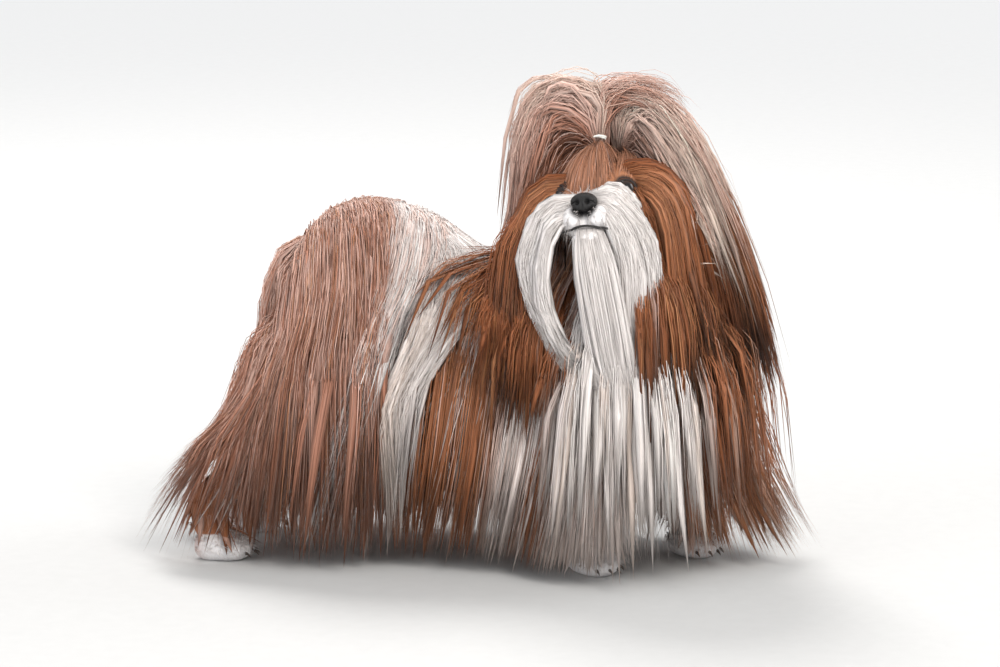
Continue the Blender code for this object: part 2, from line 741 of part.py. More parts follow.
def ear_locks(side, name):
    """The fringe of one ear, fanned from its leather. The left one stands out over the shoulder."""
    hair, form = Groomer(50 + side), FORMS[name]
    wide = side > 0
    over = [(FORMS["head"], 0.014), (FORMS["neck"], 0.034 if wide else 0.026),
            (FORMS["torso"], 0.060 if wide else 0.050)]
    for i, angle in enumerate(between(-84, 84, 7) if wide else between(-40, 84, 6)):
        t, reach = ((0.22, 0.230), (0.48, 0.200), (0.74, 0.165))[(i * 2) % 3]
        root, out = form.surface(t, 90 * side + angle)
        fan = out - Head.left * out.dot(Head.left)
        leave = Head.left * side * (0.50 if wide else 0.15) + fan * (0.8 if wide else 0.45) + DOWN * 0.6
        hair.fall(root, out, leave, over, reach=reach, bend=0.16 if wide else 0.22,
                  width=LOCK_WIDTH * 1.05, thickness=LOCK_THICKNESS * 0.85, tip=0.12, sway=EAR_SWAY[name])
    return hair.locks


def topknot_locks():
    """The hair above the bands: it rises and falls to all sides, furthest over the left ear."""
    hair = Groomer(61)
    ears = [(EAR_COATS[name], 0.008) for name in EAR_COATS]
    over = [(FORMS["head"], 0.020), *ears, (FORMS["torso"], 0.07)]
    for forward, left in BANDS:
        top = Head.at(forward - 0.008, left, 0.086)
        for turn in between(0.3, 2 * math.pi + 0.3, 6):
            out = (Head.forward * math.cos(turn) + Head.left * math.sin(turn)).normalized()
            lean = out.dot(Head.left)
            reach = 0.105 + 0.14 * max(0.0, lean) + 0.02 * max(0.0, -lean)
            leave = Head.up * 0.55 + out * (0.75 + 0.10 * max(0.0, lean))
            hair.fall(top + out * 0.012, out, leave, over, reach=reach, bend=0.25 - 0.06 * max(0.0, lean),
                      width=0.028, thickness=0.005, tip=0.20)
    return hair.locks


def head_locks():
    """Moustache, beard and cheeks, and the hair drawn up from the brow to the bands."""
    hair, skull = Groomer(71), FORMS["head"]
    over = [(skull, 0.006), (FORMS["neck"], 0.030), (FORMS["torso"], 0.055)]
    fine = {"thickness": 0.004, "tip": 0.10}
    for side in (1, -1):
        for forward, left, up, width, reach in (
                (0.049, 0.021, -0.017, 0.022, 0.135), (0.058, 0.017, -0.022, 0.019, 0.155),
                (0.056, 0.021, -0.032, 0.020, 0.165)):
            root = Head.at(forward, side * left, up)
            out = (Head.left * side * 0.9 + Head.forward * 0.45).normalized()
            hair.fall(root, out, out * 0.8 + DOWN * 0.35, over, reach=reach, bend=0.20, width=width, **fine)
        for t, degrees, reach in ((0.56, -14, 0.10), (0.40, -28, 0.12)):
            root, out = skull.surface(t, degrees if side > 0 else 180 - degrees)
            hair.fall(root, out, out * 0.7 + DOWN, over, reach=reach, width=0.034, **fine)
    for left, forward, reach in ((0.010, 0.055, 0.18), (-0.010, 0.055, 0.18), (0.012, 0.038, 0.15),
                                 (-0.012, 0.038, 0.15)):
        root = Head.at(forward, left, -0.046)
        out = (Head.forward - Head.up * 0.5 + Head.left * left * 20).normalized()
        hair.fall(root, out, out + DOWN * 1.5, over, reach=reach, width=0.021, **fine)
    for (forward, left), spokes in zip(BANDS, ((-58, 0, 58), (85, 140, -150))):
        tie = Head.at(forward, left, 0.056)
        for degrees in spokes:
            turn = math.radians(degrees)
            along = Head.forward * math.cos(turn) + Head.left * math.sin(turn)
            end = skull.onto(tie + along * 0.046 - Head.up * 0.050)
            middle = skull.onto(tie + along * 0.042 - Head.up * 0.018) + (along + Head.up) * 0.007
            hair.arch(tie, middle, end, (along + Head.up).normalized(), 0.032, 0.004)
    return hair.locks


def ear_coat(side):
    """Room that the fringe of one ear takes, which the topknot's fall lies over."""
    root = Head.at(-0.014, side * 0.040, 0.024)
    out = (Head.left * side + UP * 0.1).normalized()
    return Form(
        [
            (root + out * 0.004, 0.016, 0.009, 0.005),
            (root + out * 0.036 + DOWN * 0.030, 0.028, 0.010, 0.008),
            (root + out * 0.058 + DOWN * 0.090, 0.034, 0.010, 0.008),
            (root + out * 0.064 + DOWN * 0.180, 0.034, 0.010, 0.008),
        ],
        out * side,
    )


EAR_COATS = {"ear_left": ear_coat(1), "ear_right": ear_coat(-1)}
EAR_SWAY = {"ear_left": Vector(), "ear_right": Head.level * 0.5}
STEMS = topknot_forms()
NODE_LOCKS = {
    "torso": torso_locks,
    "neck": neck_locks,
    "tail": tail_locks,
    "head": head_locks,
    "topknot": topknot_locks,
    "ear_left": lambda: ear_locks(1, "ear_left"),
    "ear_right": lambda: ear_locks(-1, "ear_right"),
    **{name: (lambda name=name: leg_locks(name)) for name in ANKLES},
}


# Solids


def mesh_object(name, points, faces):
    """An object with this mesh, its faces pointing outward."""
    mesh = bpy.data.meshes.new(name)
    mesh.from_pydata([tuple(p) for p in points], [], faces)
    work = bmesh.new()
    work.from_mesh(mesh)
    bmesh.ops.recalc_face_normals(work, faces=work.faces)
    work.to_mesh(mesh)
    work.free()
    obj = bpy.data.objects.new(name, mesh)
    bpy.context.scene.collection.objects.link(obj)
    return obj


def boolean(obj, operation):
    """A new Boolean modifier on the object."""
    modifier = obj.modifiers.new(operation, "BOOLEAN")
    modifier.operation = operation
    modifier.solver = "MANIFOLD"
    return modifier


def combine(obj, shells, operation):
    """Joins the shells to the object, or cuts them from it, in one Boolean with a collection."""
    if not shells:
        return
    tools = bpy.data.collections.new("tools")
    bpy.context.scene.collection.children.link(tools)
    for shell in shells:
        tool = mesh_object("tool", *shell)
        bpy.context.scene.collection.objects.unlink(tool)
        tools.objects.link(tool)
    joined = boolean(obj, operation)
    joined.operand_type = "COLLECTION"
    joined.collection = tools
    apply_modifiers(obj)
    for tool in list(tools.objects):
        mesh = tool.data
        bpy.data.objects.remove(tool)
        bpy.data.meshes.remove(mesh)
    bpy.data.collections.remove(tools)


def apply_modifiers(obj):
    """Makes the evaluated mesh the object's own."""
    bpy.context.view_layer.update()
    graph = bpy.context.evaluated_depsgraph_get()
    mesh = bpy.data.meshes.new_from_object(obj.evaluated_get(graph))
    obj.modifiers.clear()
    old = obj.data
    obj.data = mesh
    bpy.data.meshes.remove(old)


def nudge(shell, amount):
    """The shell moved aside by a few hundredths of a millimetre, to part surfaces that meet edge on edge."""
    points, faces = shell
    shift = Vector((math.sin(amount), math.cos(amount * 1.7) - 1, math.sin(amount * 0.6))) * 0.00002
    return [p + shift for p in points], faces


def keep_largest(obj):
    """Leaves only the closed surface with the largest volume. Returns whether it touches itself nowhere."""
    work = bmesh.new()
    work.from_mesh(obj.data)
    bmesh.ops.triangulate(work, faces=work.faces)
    todo, groups = set(work.faces), []
    while todo:
        group, front = set(), [todo.pop()]
        while front:
            face = front.pop()
            group.add(face)
            for edge in face.edges:
                for other in edge.link_faces:
                    if other in todo:
                        todo.remove(other)
                        front.append(other)
        volume = sum(f.verts[0].co.dot(f.verts[1].co.cross(f.verts[2].co)) for f in group) / 6
        groups.append((volume, group))
    groups.sort(key=lambda g: g[0])
    loose = [face for _, group in groups[:-1] for face in group]
    bmesh.ops.delete(work, geom=loose, context="FACES")
    bmesh.ops.delete(work, geom=[v for v in work.verts if not v.link_faces], context="VERTS")
    work.to_mesh(obj.data)
    bmesh.ops.dissolve_degenerate(work, edges=work.edges, dist=1e-6)
    bmesh.ops.remove_doubles(work, verts=work.verts, dist=1.5e-7)
    sound = all(len(edge.link_faces) in (0, 2) for edge in work.edges)
    work.free()
    return sound


def box_of(points):
    """(lowest, highest corner) of some points."""
    flat = np.array([tuple(p) for p in points])
    return flat.min(0), flat.max(0)


class Node:
    """One named sub-part, and its twin: the same body grown by the gap, which its neighbours are cut by."""

    made = []

    def __init__(self, name, shells, grown, cuts=()):
        for attempt in range(5):
            moved = [nudge(shell, attempt * (i + 1)) for i, shell in enumerate(shells)]
            self.obj = mesh_object(name, *moved[0])
            combine(self.obj, moved[1:], "UNION")
            combine(self.obj, list(cuts), "DIFFERENCE")
            low, high = box_of([v.co for v in self.obj.data.vertices])
            for other in Node.made:
                if other.meets(low, high):
                    boolean(self.obj, "DIFFERENCE").object = other.twin
                    apply_modifiers(self.obj)
            if keep_largest(self.obj) or attempt == 4:
                break
            bpy.data.objects.remove(self.obj)
        self.twin = mesh_object(name + "_clearance", *grown[0])
        self.twin.hide_render = True
        combine(self.twin, grown[1:] + shells, "UNION")
        self.low, self.high = box_of([v.co for v in self.twin.data.vertices])
        Node.made.append(self)

    def meets(self, low, high):
        """Whether the box of the twin meets the box from low to high."""
        return bool((self.low <= high).all() and (self.high >= low).all())

    @classmethod
    def finish(cls):
        """Takes the twins away, and gives each node its material."""
        for node in cls.made:
            bpy.data.objects.remove(node.twin)
            finish(node.obj, *FINISHES[node.obj.name], smooth=node.obj.name in ROUND)


def ball(centre, radius, rings=8, sides=12, grow=0.0, axis=UP):
    """(points, faces) of a round ball with its poles on the axis."""
    r = radius + grow
    turn = UP.rotation_difference(axis).to_matrix()
    points = [centre + turn @ UP * r, centre - turn @ UP * r]
    faces = []
    for ring in range(1, rings):
        a = math.pi * ring / rings
        for side in range(sides):
            b = 2 * math.pi * side / sides
            spot = Vector((math.sin(a) * math.cos(b), math.sin(a) * math.sin(b), math.cos(a)))
            points.append(centre + turn @ spot * r)
    for ring in range(rings - 2):
        for side in range(sides):
            a, b = 2 + ring * sides + side, 2 + ring * sides + (side + 1) % sides
            faces += [(a, b, b + sides), (a, b + sides, a + sides)]
    last = 2 + (rings - 2) * sides
    for side in range(sides):
        faces.append((0, 2 + (side + 1) % sides, 2 + side))
        faces.append((1, last + side, last + (side + 1) % sides))
    return points, faces


def finish(obj, colour, roughness, smooth=False):
    """Gives a node its own plain material, and smooth shading where it is round."""
    material = bpy.data.materials.new(obj.name)
    material.use_nodes = True
    shader = material.node_tree.nodes["Principled BSDF"]
    shader.inputs["Base Color"].default_value = (*colour, 1.0)
    shader.inputs["Roughness"].default_value = roughness
    obj.data.materials.clear()
    obj.data.materials.append(material)
    obj.data.polygons.foreach_set("use_smooth", [smooth] * len(obj.data.polygons))


def slab_below(height):
    """A cutter that takes off everything under a height."""
    low, high, reach = -0.1, height, 1.0
    points = [Vector((x, y, z)) for x in (-reach, reach) for y in (-reach, reach) for z in (low, high)]
    faces = [(0, 1, 3, 2), (4, 6, 7, 5), (0, 4, 5, 1), (2, 3, 7, 6), (0, 2, 6, 4), (1, 5, 7, 3)]
    return points, faces


def body_node(name, rings=12, sides=14, extra=(), cuts=()):
    """A node of flesh: its form and smaller forms and its locks, joined, and cut clear of its neighbours."""
    forms = [(FORMS[name], rings, sides)] if name in FORMS else []
    forms += [(form, 7, 10) for form in extra]
    locks = NODE_LOCKS[name]() if name in NODE_LOCKS else []
    shells = [form.shell(*size) for form, *size in forms] + [lock.shell() for lock in locks]
    grown = [form.shell(*size, GAP) for form, *size in forms] + [lock.shell(GAP) for lock in locks]
    return Node(name, shells, grown, cuts)


def ring(centre, axis, radius, wire, sides=16, round_sides=6, grow=0.0):
    """(points, faces) of a closed ring round an axis."""
    turn = UP.rotation_difference(axis).to_matrix()
    points, faces = [], []
    for i in range(sides):
        a = 2 * math.pi * i / sides
        arm = Vector((math.cos(a), math.sin(a), 0))
        for k in range(round_sides):
            b = 2 * math.pi * k / round_sides
            spot = arm * (radius + (wire + grow) * math.cos(b)) + UP * (wire + grow) * math.sin(b)
            points.append(centre + turn @ spot)
    for i in range(sides):
        for k in range(round_sides):
            j, m = (i + 1) % sides, (k + 1) % round_sides
            n = round_sides
            faces.append((i * n + k, j * n + k, j * n + m, i * n + m))
    return points, faces


def make_eyes():
    """Two round eyes, set in the head."""
    for side, name in ((1, "eye_left"), (-1, "eye_right")):
        place = eye_place(side)
        Node(name, [ball(place, EYE_RADIUS, 8, 12)], [ball(place, EYE_RADIUS, 8, 12, GAP)])


def make_bands():
    """The two small elastic bands of the topknot."""
    for (forward, left), name in zip(BANDS, ("topknot_band_front", "topknot_band_rear")):
        place = Head.at(forward, left, BAND_HEIGHT)
        Node(name, [ring(place, Head.up, 0.0062, 0.0018)], [ring(place, Head.up, 0.0062, 0.0018, grow=GAP)])


def main():
    """Builds every node, inner pieces first."""
    for obj in list(bpy.data.objects):
        bpy.data.objects.remove(obj)
    make_eyes()
    make_bands()
    body_node("nose", extra=[nose_form()], cuts=nostril_cutters())
    body_node("topknot", extra=STEMS)
    body_node("ear_left", 8, 8, cuts=[cup_cutter(1)])
    body_node("ear_right", 8, 8, cuts=[cup_cutter(-1)])
    body_node("head", 12, 14, extra=[*lip_forms(), *lid_forms()], cuts=[*lid_openings(), mouth_cutter()])
    body_node("tail", 12, 8)
    body_node("neck", 8, 14)
    body_node("torso", 12, 14)
    for name in ANKLES:
        body_node(name, 9, 10, extra=[PAWS[name]], cuts=[slab_below(0.0)])
    Node.finish()


main()
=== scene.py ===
"""Looks of a life-size still model of a standing shih tzu in full show coat.

Metres, +Z up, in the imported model's frame: the dog faces -Y and its left side is +X. One skin lies under the
coat. The coat is fine tapered strands. A wisp leaves its root along the lie of the coat, bends under its own
weight and lies over the forms beneath it, and a few strands follow each wisp and draw together towards its tip.
Hair of the head that is combed to a shape follows guide curves along FACE_AXES: across the face, up and near.
"""

import logging
import math
from dataclasses import dataclass, field
from enum import Enum

import bpy
import numpy as np
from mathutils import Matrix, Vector


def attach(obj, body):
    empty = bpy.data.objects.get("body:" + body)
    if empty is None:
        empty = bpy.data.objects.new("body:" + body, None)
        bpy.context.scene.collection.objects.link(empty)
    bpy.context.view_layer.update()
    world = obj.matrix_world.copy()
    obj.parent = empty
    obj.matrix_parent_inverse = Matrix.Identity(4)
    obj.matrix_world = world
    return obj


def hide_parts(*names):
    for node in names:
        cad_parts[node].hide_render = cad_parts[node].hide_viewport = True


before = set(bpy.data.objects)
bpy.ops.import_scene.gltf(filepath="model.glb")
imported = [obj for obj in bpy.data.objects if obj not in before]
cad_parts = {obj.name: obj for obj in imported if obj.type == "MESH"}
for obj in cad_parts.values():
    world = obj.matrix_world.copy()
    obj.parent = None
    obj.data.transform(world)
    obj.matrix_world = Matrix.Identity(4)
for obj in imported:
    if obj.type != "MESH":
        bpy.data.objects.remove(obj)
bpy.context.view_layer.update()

LOG = logging.getLogger("shih_tzu")
Array = np.ndarray

DOWN = np.array((0.0, 0.0, -1.0))
UP = np.array((0.0, 0.0, 1.0))
MILLIMETRE = 0.001
GOLDEN_SHARE = 0.618034
EVEN_SHARES = (0.7548776662, 0.5698402910)
FACE_AXES = np.array(((0.2588, -0.9659, 0.0), (0.1677, 0.0450, 0.9848), (-0.9512, -0.2549, 0.1736)))


# Vectors


def unit(v: Array) -> Array:
    """Vectors of length 1 along v, over the last axis."""
    return v / np.maximum(np.linalg.norm(v, axis=-1, keepdims=True), 1e-9)


def dot(a: Array, b: Array) -> Array:
    """Dot product over the last axis, which is kept."""
    return (a * b).sum(-1, keepdims=True)


def lerp(a: Array, b: Array, share: Array) -> Array:
    """Numbers: a where share is 0, b where it is 1."""
    return a + (b - a) * share


def mix(a: Array, b: Array, share: Array) -> Array:
    """Vectors: a where share is 0, b where it is 1, with one share for each vector."""
    share = np.asarray(share, float)
    if share.ndim and share.shape[-1] != 1:
        share = share[..., None]
    return a + (b - a) * share


def rise(low: float, high: float, x: Array) -> Array:
    """Smooth step from 0 at low to 1 at high: 3 u u - 2 u u u, with u the clipped share of the way."""
    u = np.clip((np.asarray(x, float) - low) / (high - low), 0.0, 1.0)
    return u * u * (3 - 2 * u)


def column(value: Array, count: int) -> Array:
    """The value, or one value for each row, as a column of count rows."""
    return np.broadcast_to(np.asarray(value, float).reshape(-1, 1), (count, 1))


def heading(degrees: float) -> Array:
    """Unit vector in plan that points forward for a part turned this far towards the dog's right."""
    turn = math.radians(degrees)
    return np.array((-math.sin(turn), -math.cos(turn), 0.0))


def left_of(forward: Array) -> Array:
    """Unit vector in plan that points to the dog's left of a forward direction."""
    return unit(np.array((-forward[1], forward[0], 0.0)))


def spline(values: Array, t: Array) -> Array:
    """Smooth curve through evenly spaced rows of values, at t from 0 to 1 (Catmull-Rom).

    Args:
        values: one row for each station.
        t: places along the curve.

    Returns:
        One row for each t.
    """
    last = len(values) - 1
    whole = np.clip(t, 0.0, 1.0) * last
    i = np.minimum(whole.astype(int), last - 1)
    f = (whole - i)[:, None]
    p0, p1 = values[np.maximum(i - 1, 0)], values[i]
    p2, p3 = values[i + 1], values[np.minimum(i + 2, last)]
    return 0.5 * (2 * p1 + (p2 - p0) * f + (2 * p0 - 5 * p1 + 4 * p2 - p3) * f * f
                  + (3 * p1 - p0 - 3 * p2 + p3) * f * f * f)


def fans(count: int, sides: int) -> Array:
    """Triangles that close a tube at both ends.

    Args:
        count: how many points the tube has. The two points after them are its poles.
        sides: how many of them a ring has.

    Returns:
        One row of three corners for each triangle.
    """
    k = np.arange(sides)
    turn = (k + 1) % sides
    start = np.stack((np.full(sides, count), turn, k), -1)
    end = np.stack((np.full(sides, count + 1), count - sides + k, count - sides + turn), -1)
    return np.concatenate((start, end))


def joined(parts: list) -> tuple:
    """(points, faces) of several surfaces as one, from the (points, faces) of each."""
    starts = np.cumsum([0, *[len(points) for points, _ in parts]])
    return (np.concatenate([points for points, _ in parts]),
            np.concatenate([faces + start for (_, faces), start in zip(parts, starts)]))


# Forms of the body


@dataclass(eq=False)
class Form:
    """A body form swept along a curve, with an oval section.

    Attributes:
        stations: rows of (centre, half width, rise above the centre, drop below it).
        hint: up of the sections.
        cap: share of the length over which the start rounds off, and end_cap the same at the end.
        ease: share of the length over which the sections turn with the curve.
        cell: place of the form on the unwrap, in a square of 4 by 4 cells.
    """

    stations: list
    hint: Array
    cap: float = 0.12
    end_cap: float = 0.0
    ease: float = 0.03
    cell: int = 0

    def __post_init__(self) -> None:
        self.centres = np.array([s[0] for s in self.stations], float)
        self.sizes = np.array([s[1:] for s in self.stations], float)
        self.end_cap = self.end_cap or self.cap
        count = 36
        t = (np.arange(count) + 0.5) / count
        centre, side, up, along, size = self.sections(t)
        self.blob_at = t
        self.blob_centre, self.blob_size = centre, size
        self.blob_axes = np.stack((side, up, along), axis=1)

    def sections(self, t: Array) -> tuple:
        """(centre, side, up, along, sizes) of the sections at t, one row each.

        A size is its spline through the stations times the round-off, which is the quarter circle
        sqrt(1 - (1 - t / cap)^2) near each end.
        """
        t = np.asarray(t, float)
        centre = spline(self.centres, t)
        along = unit(spline(self.centres, np.minimum(t + self.ease, 1)) - spline(self.centres,
                                                                              np.maximum(t - self.ease, 0)))
        hint = np.asarray(self.hint, float)
        up = unit(hint - along * dot(along, hint))
        side = np.cross(along, up)
        start = np.sqrt(np.clip(1 - (1 - np.minimum(t / self.cap, 1)) ** 2, 0, 1))
        end = np.sqrt(np.clip(1 - (1 - np.minimum((1 - t) / self.end_cap, 1)) ** 2, 0, 1))
        size = np.maximum(spline(self.sizes, t), 0.001) * np.minimum(start, end)[:, None]
        return centre, side, up, along, size

    def surface(self, t: Array, degrees: Array) -> tuple:
        """(places, outward sides) on the skin. Degrees run from the side, 0, over the top, 90."""
        t, degrees = np.broadcast_arrays(np.asarray(t, float), np.asarray(degrees, float))
        centre, side, up, _, size = self.sections(t.reshape(-1))
        a = np.radians(degrees.reshape(-1))[:, None]
        across, height = size[:, :1], np.where(np.sin(a) > 0, size[:, 1:2], size[:, 2:3])
        place = centre + side * across * np.cos(a) + up * height * np.sin(a)
        out = side * np.cos(a) / np.maximum(across, 1e-4) + up * np.sin(a) / np.maximum(height, 1e-4)
        return place, unit(out)

    def measure(self, points: Array) -> tuple:
        """(distance outside, outward side, t, degrees) of points, from a row of oval balls along the form."""
        q = points[:, None, :] - self.blob_centre[None]
        local = np.einsum("nbk,bjk->nbj", q, self.blob_axes)
        x, y, z = local[..., 0], local[..., 1], local[..., 2]
        a = np.maximum(self.blob_size[:, 0], 0.002)
        b = np.maximum(np.where(y > 0, self.blob_size[:, 1], self.blob_size[:, 2]), 0.002)
        c = 0.6 * np.minimum(a, b) + 0.001
        k = np.sqrt((x / a) ** 2 + (y / b) ** 2 + (z / c) ** 2) + 1e-9
        away = np.linalg.norm(q, axis=-1) * (1 - 1 / k)
        i = np.argmin(away, axis=1)
        n = np.arange(len(points))
        normal = np.stack((x[n, i] / a[i] ** 2, y[n, i] / b[n, i] ** 2, z[n, i] / c[n, i] ** 2), axis=1)
        out = np.einsum("nj,njk->nk", normal, self.blob_axes[i])
        degrees = np.degrees(np.arctan2(y[n, i] / b[n, i], x[n, i] / a[i]))
        return away[n, i], unit(out), self.blob_at[i], degrees

    def unwrap(self, t: Array, degrees: Array) -> Array:
        """Places of skin points on the unwrap: degrees across the form's cell, t up it."""
        u = (np.asarray(degrees, float) / 360.0) % 1.0
        cell = np.array((self.cell % 4, self.cell // 4), float)
        return (cell + 0.04 + 0.92 * np.stack(np.broadcast_arrays(u, np.asarray(t, float)), axis=-1)) / 4

    def grid(self, rings: int, sides: int, grow: float = 0.0) -> tuple:
        """(points, quads, end triangles) of the closed skin, moved outward by grow."""
        even = (np.arange(rings) + 0.6) / (rings + 0.2)
        t = 0.45 * even + 0.55 * (1 - np.cos(np.pi * even)) / 2
        place, out = self.surface(np.repeat(t, sides), np.tile(np.arange(sides) * 360.0 / sides, rings))
        poles = self.sections(np.array((0.0, 1.0)))[0]
        ring, side = np.meshgrid(np.arange(rings - 1), np.arange(sides), indexing="ij")
        a, b = ring * sides + side, ring * sides + (side + 1) % sides
        quads = np.stack((a, b, b + sides, a + sides), axis=-1).reshape(-1, 4)
        return np.concatenate((place + out * grow, poles)), quads, fans(rings * sides, sides)


@dataclass
class Body:
    """The dog's build and stance: every form that the skin is made of and the coat lies on."""

    withers_height: float = 0.250
    topline_dip: float = 0.006
    chest_depth: float = 0.128
    chest_half_width: float = 0.064
    loin_half_width: float = 0.054
    hip_half_width: float = 0.058
    paw_spacing: float = 0.062
    hind_spacing: float = 0.065
    front_turn: float = 35.0
    hind_turn: float = -12.0
    paw_half_width: float = 0.023
    paw_height: float = 0.026
    skull_half_width: float = 0.050
    muzzle_half_width: float = 0.024
    nose_reach: float = 0.070
    nose_half_width: float = 0.0125
    eye_radius: float = 0.0115
    eye_spacing: float = 0.0275
    bands: tuple = ((0.024, 0.0), (-0.008, 0.011))
    band_height: float = 0.062
    head_turn: float = 95.0
    head_pitch: float = 25.0
    head_roll: float = 8.0
    tail_radius: float = 0.011
    ear_length: float = 0.062
    ear_half_width: float = 0.017
    origin: tuple = (-0.0080, 0.0082, 0.0)
    forms: dict = field(default_factory=dict)

    def __post_init__(self) -> None:
        origin = np.array(self.origin)
        self.withers = np.array((0.003, -0.128, 0.0)) - origin
        self.hips = np.array((0.0, 0.1175, 0.0)) - origin
        self.skull = np.array((-0.0405, -0.1215, 0.337)) - origin
        self.front, self.hind = heading(self.front_turn), heading(self.hind_turn)
        self.front_left, self.hind_left = left_of(self.front), left_of(self.hind)
        level = heading(self.head_turn)
        pitch, roll = math.radians(self.head_pitch), math.radians(self.head_roll)
        self.head_level = level
        self.ahead = unit(level * math.cos(pitch) + UP * math.sin(pitch))
        flat_left = left_of(level)
        flat_up = np.cross(self.ahead, flat_left)
        self.left = flat_left * math.cos(roll) + flat_up * math.sin(roll)
        self.up = np.cross(self.ahead, self.left)
        self.forms = {
            "torso": self.torso(), "neck": self.neck(), "head": self.head(), "tail": self.tail(),
            "leg_front_left": self.front_leg(1), "leg_front_right": self.front_leg(-1),
            "leg_hind_left": self.hind_leg(1), "leg_hind_right": self.hind_leg(-1),
            "ear_left": self.ear(1), "ear_right": self.ear(-1),
        }
        fore, apart = self.withers + self.front * 0.020, self.front_left * self.paw_spacing
        rear, hind_apart = self.hips, self.hind_left * self.hind_spacing
        ankles = {
            "leg_front_left": (fore + apart, self.front),
            "leg_front_right": (fore - apart, self.front),
            "leg_hind_left": (rear + hind_apart - self.hind * 0.126, self.hind),
            "leg_hind_right": (rear - hind_apart - self.hind * 0.142, self.hind),
        }
        self.legs = list(ankles)
        self.ankles = ankles
        for name, place in ankles.items():
            self.forms[name.replace("leg", "paw")] = self.paw(*place)
        for cell, form in enumerate(self.forms.values()):
            form.cell = cell
        self.ear_coats = [self.ear_coat(side) for side in (1, -1)]

    def at(self, forward: float, left: float, up: float) -> Array:
        """Place of a point given along the head's axes from the middle of the skull."""
        return self.skull + self.ahead * forward + self.left * left + self.up * up

    def gaze(self, side: int) -> Array:
        """Direction in which an eye looks. side is 1 for the left and -1 for the right."""
        return unit(self.ahead * 0.80 + self.left * side * 0.58 + self.up * 0.06)

    def eye(self, side: int) -> Array:
        """Middle of an eye."""
        return self.at(0.0325, side * self.eye_spacing, 0.006)

    def torso(self) -> Form:
        """Barrel of the body from breastbone to buttocks."""
        back = self.withers_height - self.topline_dip
        middle = mix(self.withers, self.hips, 0.36) + (0.008, 0, 0)
        loin = mix(self.withers, self.hips, 0.68) + (0.007, 0, 0)
        top, drop = 0.058, self.chest_depth - 0.058
        shoulder = self.withers + UP * (self.withers_height - top)
        return Form([
            (self.withers + self.front * 0.050 + UP * 0.182, 0.040, 0.040, 0.042),
            (self.withers + self.front * 0.020 + UP * 0.187, 0.058, 0.054, 0.062),
            (shoulder - self.front * 0.020, self.chest_half_width, top, drop),
            (middle + UP * (back - 0.055), self.chest_half_width + 0.002, 0.055, 0.064),
            (loin + UP * (back - 0.048), self.loin_half_width, 0.048, 0.048),
            (self.hips + UP * (back - 0.047), self.hip_half_width, 0.045, 0.050),
            (self.hips - self.hind * 0.047 + UP * (back - 0.055), 0.042, 0.038, 0.042),
        ], UP, ease=0.25)

    def neck(self) -> Form:
        """Neck, upright from the shoulders to the back of the skull."""
        return Form([
            (self.withers + self.front * 0.012 + UP * 0.205, 0.046, 0.046, 0.046),
            (mix(self.withers, self.skull, 0.45) + self.front * 0.012 + UP * 0.105, 0.040, 0.042, 0.042),
            (self.skull - self.ahead * 0.020 - UP * 0.038, 0.036, 0.038, 0.038),
            (self.skull - self.ahead * 0.006 - UP * 0.008, 0.030, 0.030, 0.030),
        ], self.front)

    def head(self) -> Form:
        """Broad round skull that drops at the stop to a short square muzzle."""
        rows = (
            (-0.048, 0.000, 0.036, 0.034, 0.034), (-0.026, 0.001, 0.048, 0.043, 0.042),
            (-0.004, 0.001, self.skull_half_width, 0.046, 0.044),
            (0.018, 0.000, self.skull_half_width - 0.003, 0.041, 0.044), (0.036, -0.008, 0.038, 0.026, 0.038),
            (0.050, -0.020, self.muzzle_half_width + 0.002, 0.015, 0.026),
            (0.062, -0.022, self.muzzle_half_width - 0.003, 0.012, 0.020),
        )
        return Form([(self.at(ahead, 0, level), *sizes) for ahead, level, *sizes in rows], self.up,
                    cap=0.14, end_cap=0.10)

    def lips(self) -> list:
        """Full upper lips on each side of the middle line, and the chin below the mouth."""
        forms = [
            Form([
                (self.at(0.034, side * 0.022, -0.026), 0.007, 0.010, 0.010),
                (self.at(0.052, side * 0.0155, -0.025), 0.010, 0.012, 0.0115),
                (self.at(0.069, side * 0.0075, -0.025), 0.0078, 0.008, 0.010),
            ], self.up, cap=0.25)
            for side in (1, -1)
        ]
        forms.append(Form([
            (self.at(0.030, 0, -0.042), 0.018, 0.008, 0.008),
            (self.at(0.048, 0, -0.043), 0.017, 0.008, 0.008),
            (self.at(0.064, 0, -0.042), 0.011, 0.006, 0.008),
        ], self.up, cap=0.25))
        return forms

    def mouth(self) -> Array:
        """Points along the line of the mouth, from corner to corner round the muzzle."""
        half = ((0.040, 0.031, -0.042), (0.056, 0.025, -0.038), (0.070, 0.013, -0.0365),
                (0.0755, 0.0, -0.0355))
        path = [*half, *[(forward, -left, up) for forward, left, up in half[-2::-1]]]
        return spline(np.array([self.at(*place) for place in path]), np.linspace(0, 1, 48))

    def tail(self) -> Form:
        """Tail set high, arched up and forward over the rump."""
        root = self.hips - self.hind * 0.036
        rows = ((0.0, 0.222, 0.013), (-0.014, 0.262, 0.012), (-0.004, 0.302, self.tail_radius),
                (0.034, 0.322, 0.010), (0.082, 0.313, 0.009), (0.128, 0.286, 0.007))
        return Form([(root + self.hind * ahead + UP * height, r, r, r) for ahead, height, r in rows],
                    self.hind_left, cap=0.06)

    def front_leg(self, side: int) -> Form:
        """Straight fore leg from the shoulder to the pastern."""
        paw = self.withers + self.front * 0.025 + self.front_left * self.paw_spacing * side
        return Form([
            (paw - self.front * 0.030 + UP * 0.158, 0.022, 0.030, 0.028),
            (paw - self.front * 0.024 + UP * 0.118, 0.019, 0.023, 0.023),
            (paw - self.front * 0.014 + UP * 0.070, 0.016, 0.017, 0.017),
            (paw - self.front * 0.008 + UP * 0.022, 0.016, 0.017, 0.017),
        ], self.front, cap=0.10, end_cap=0.16)

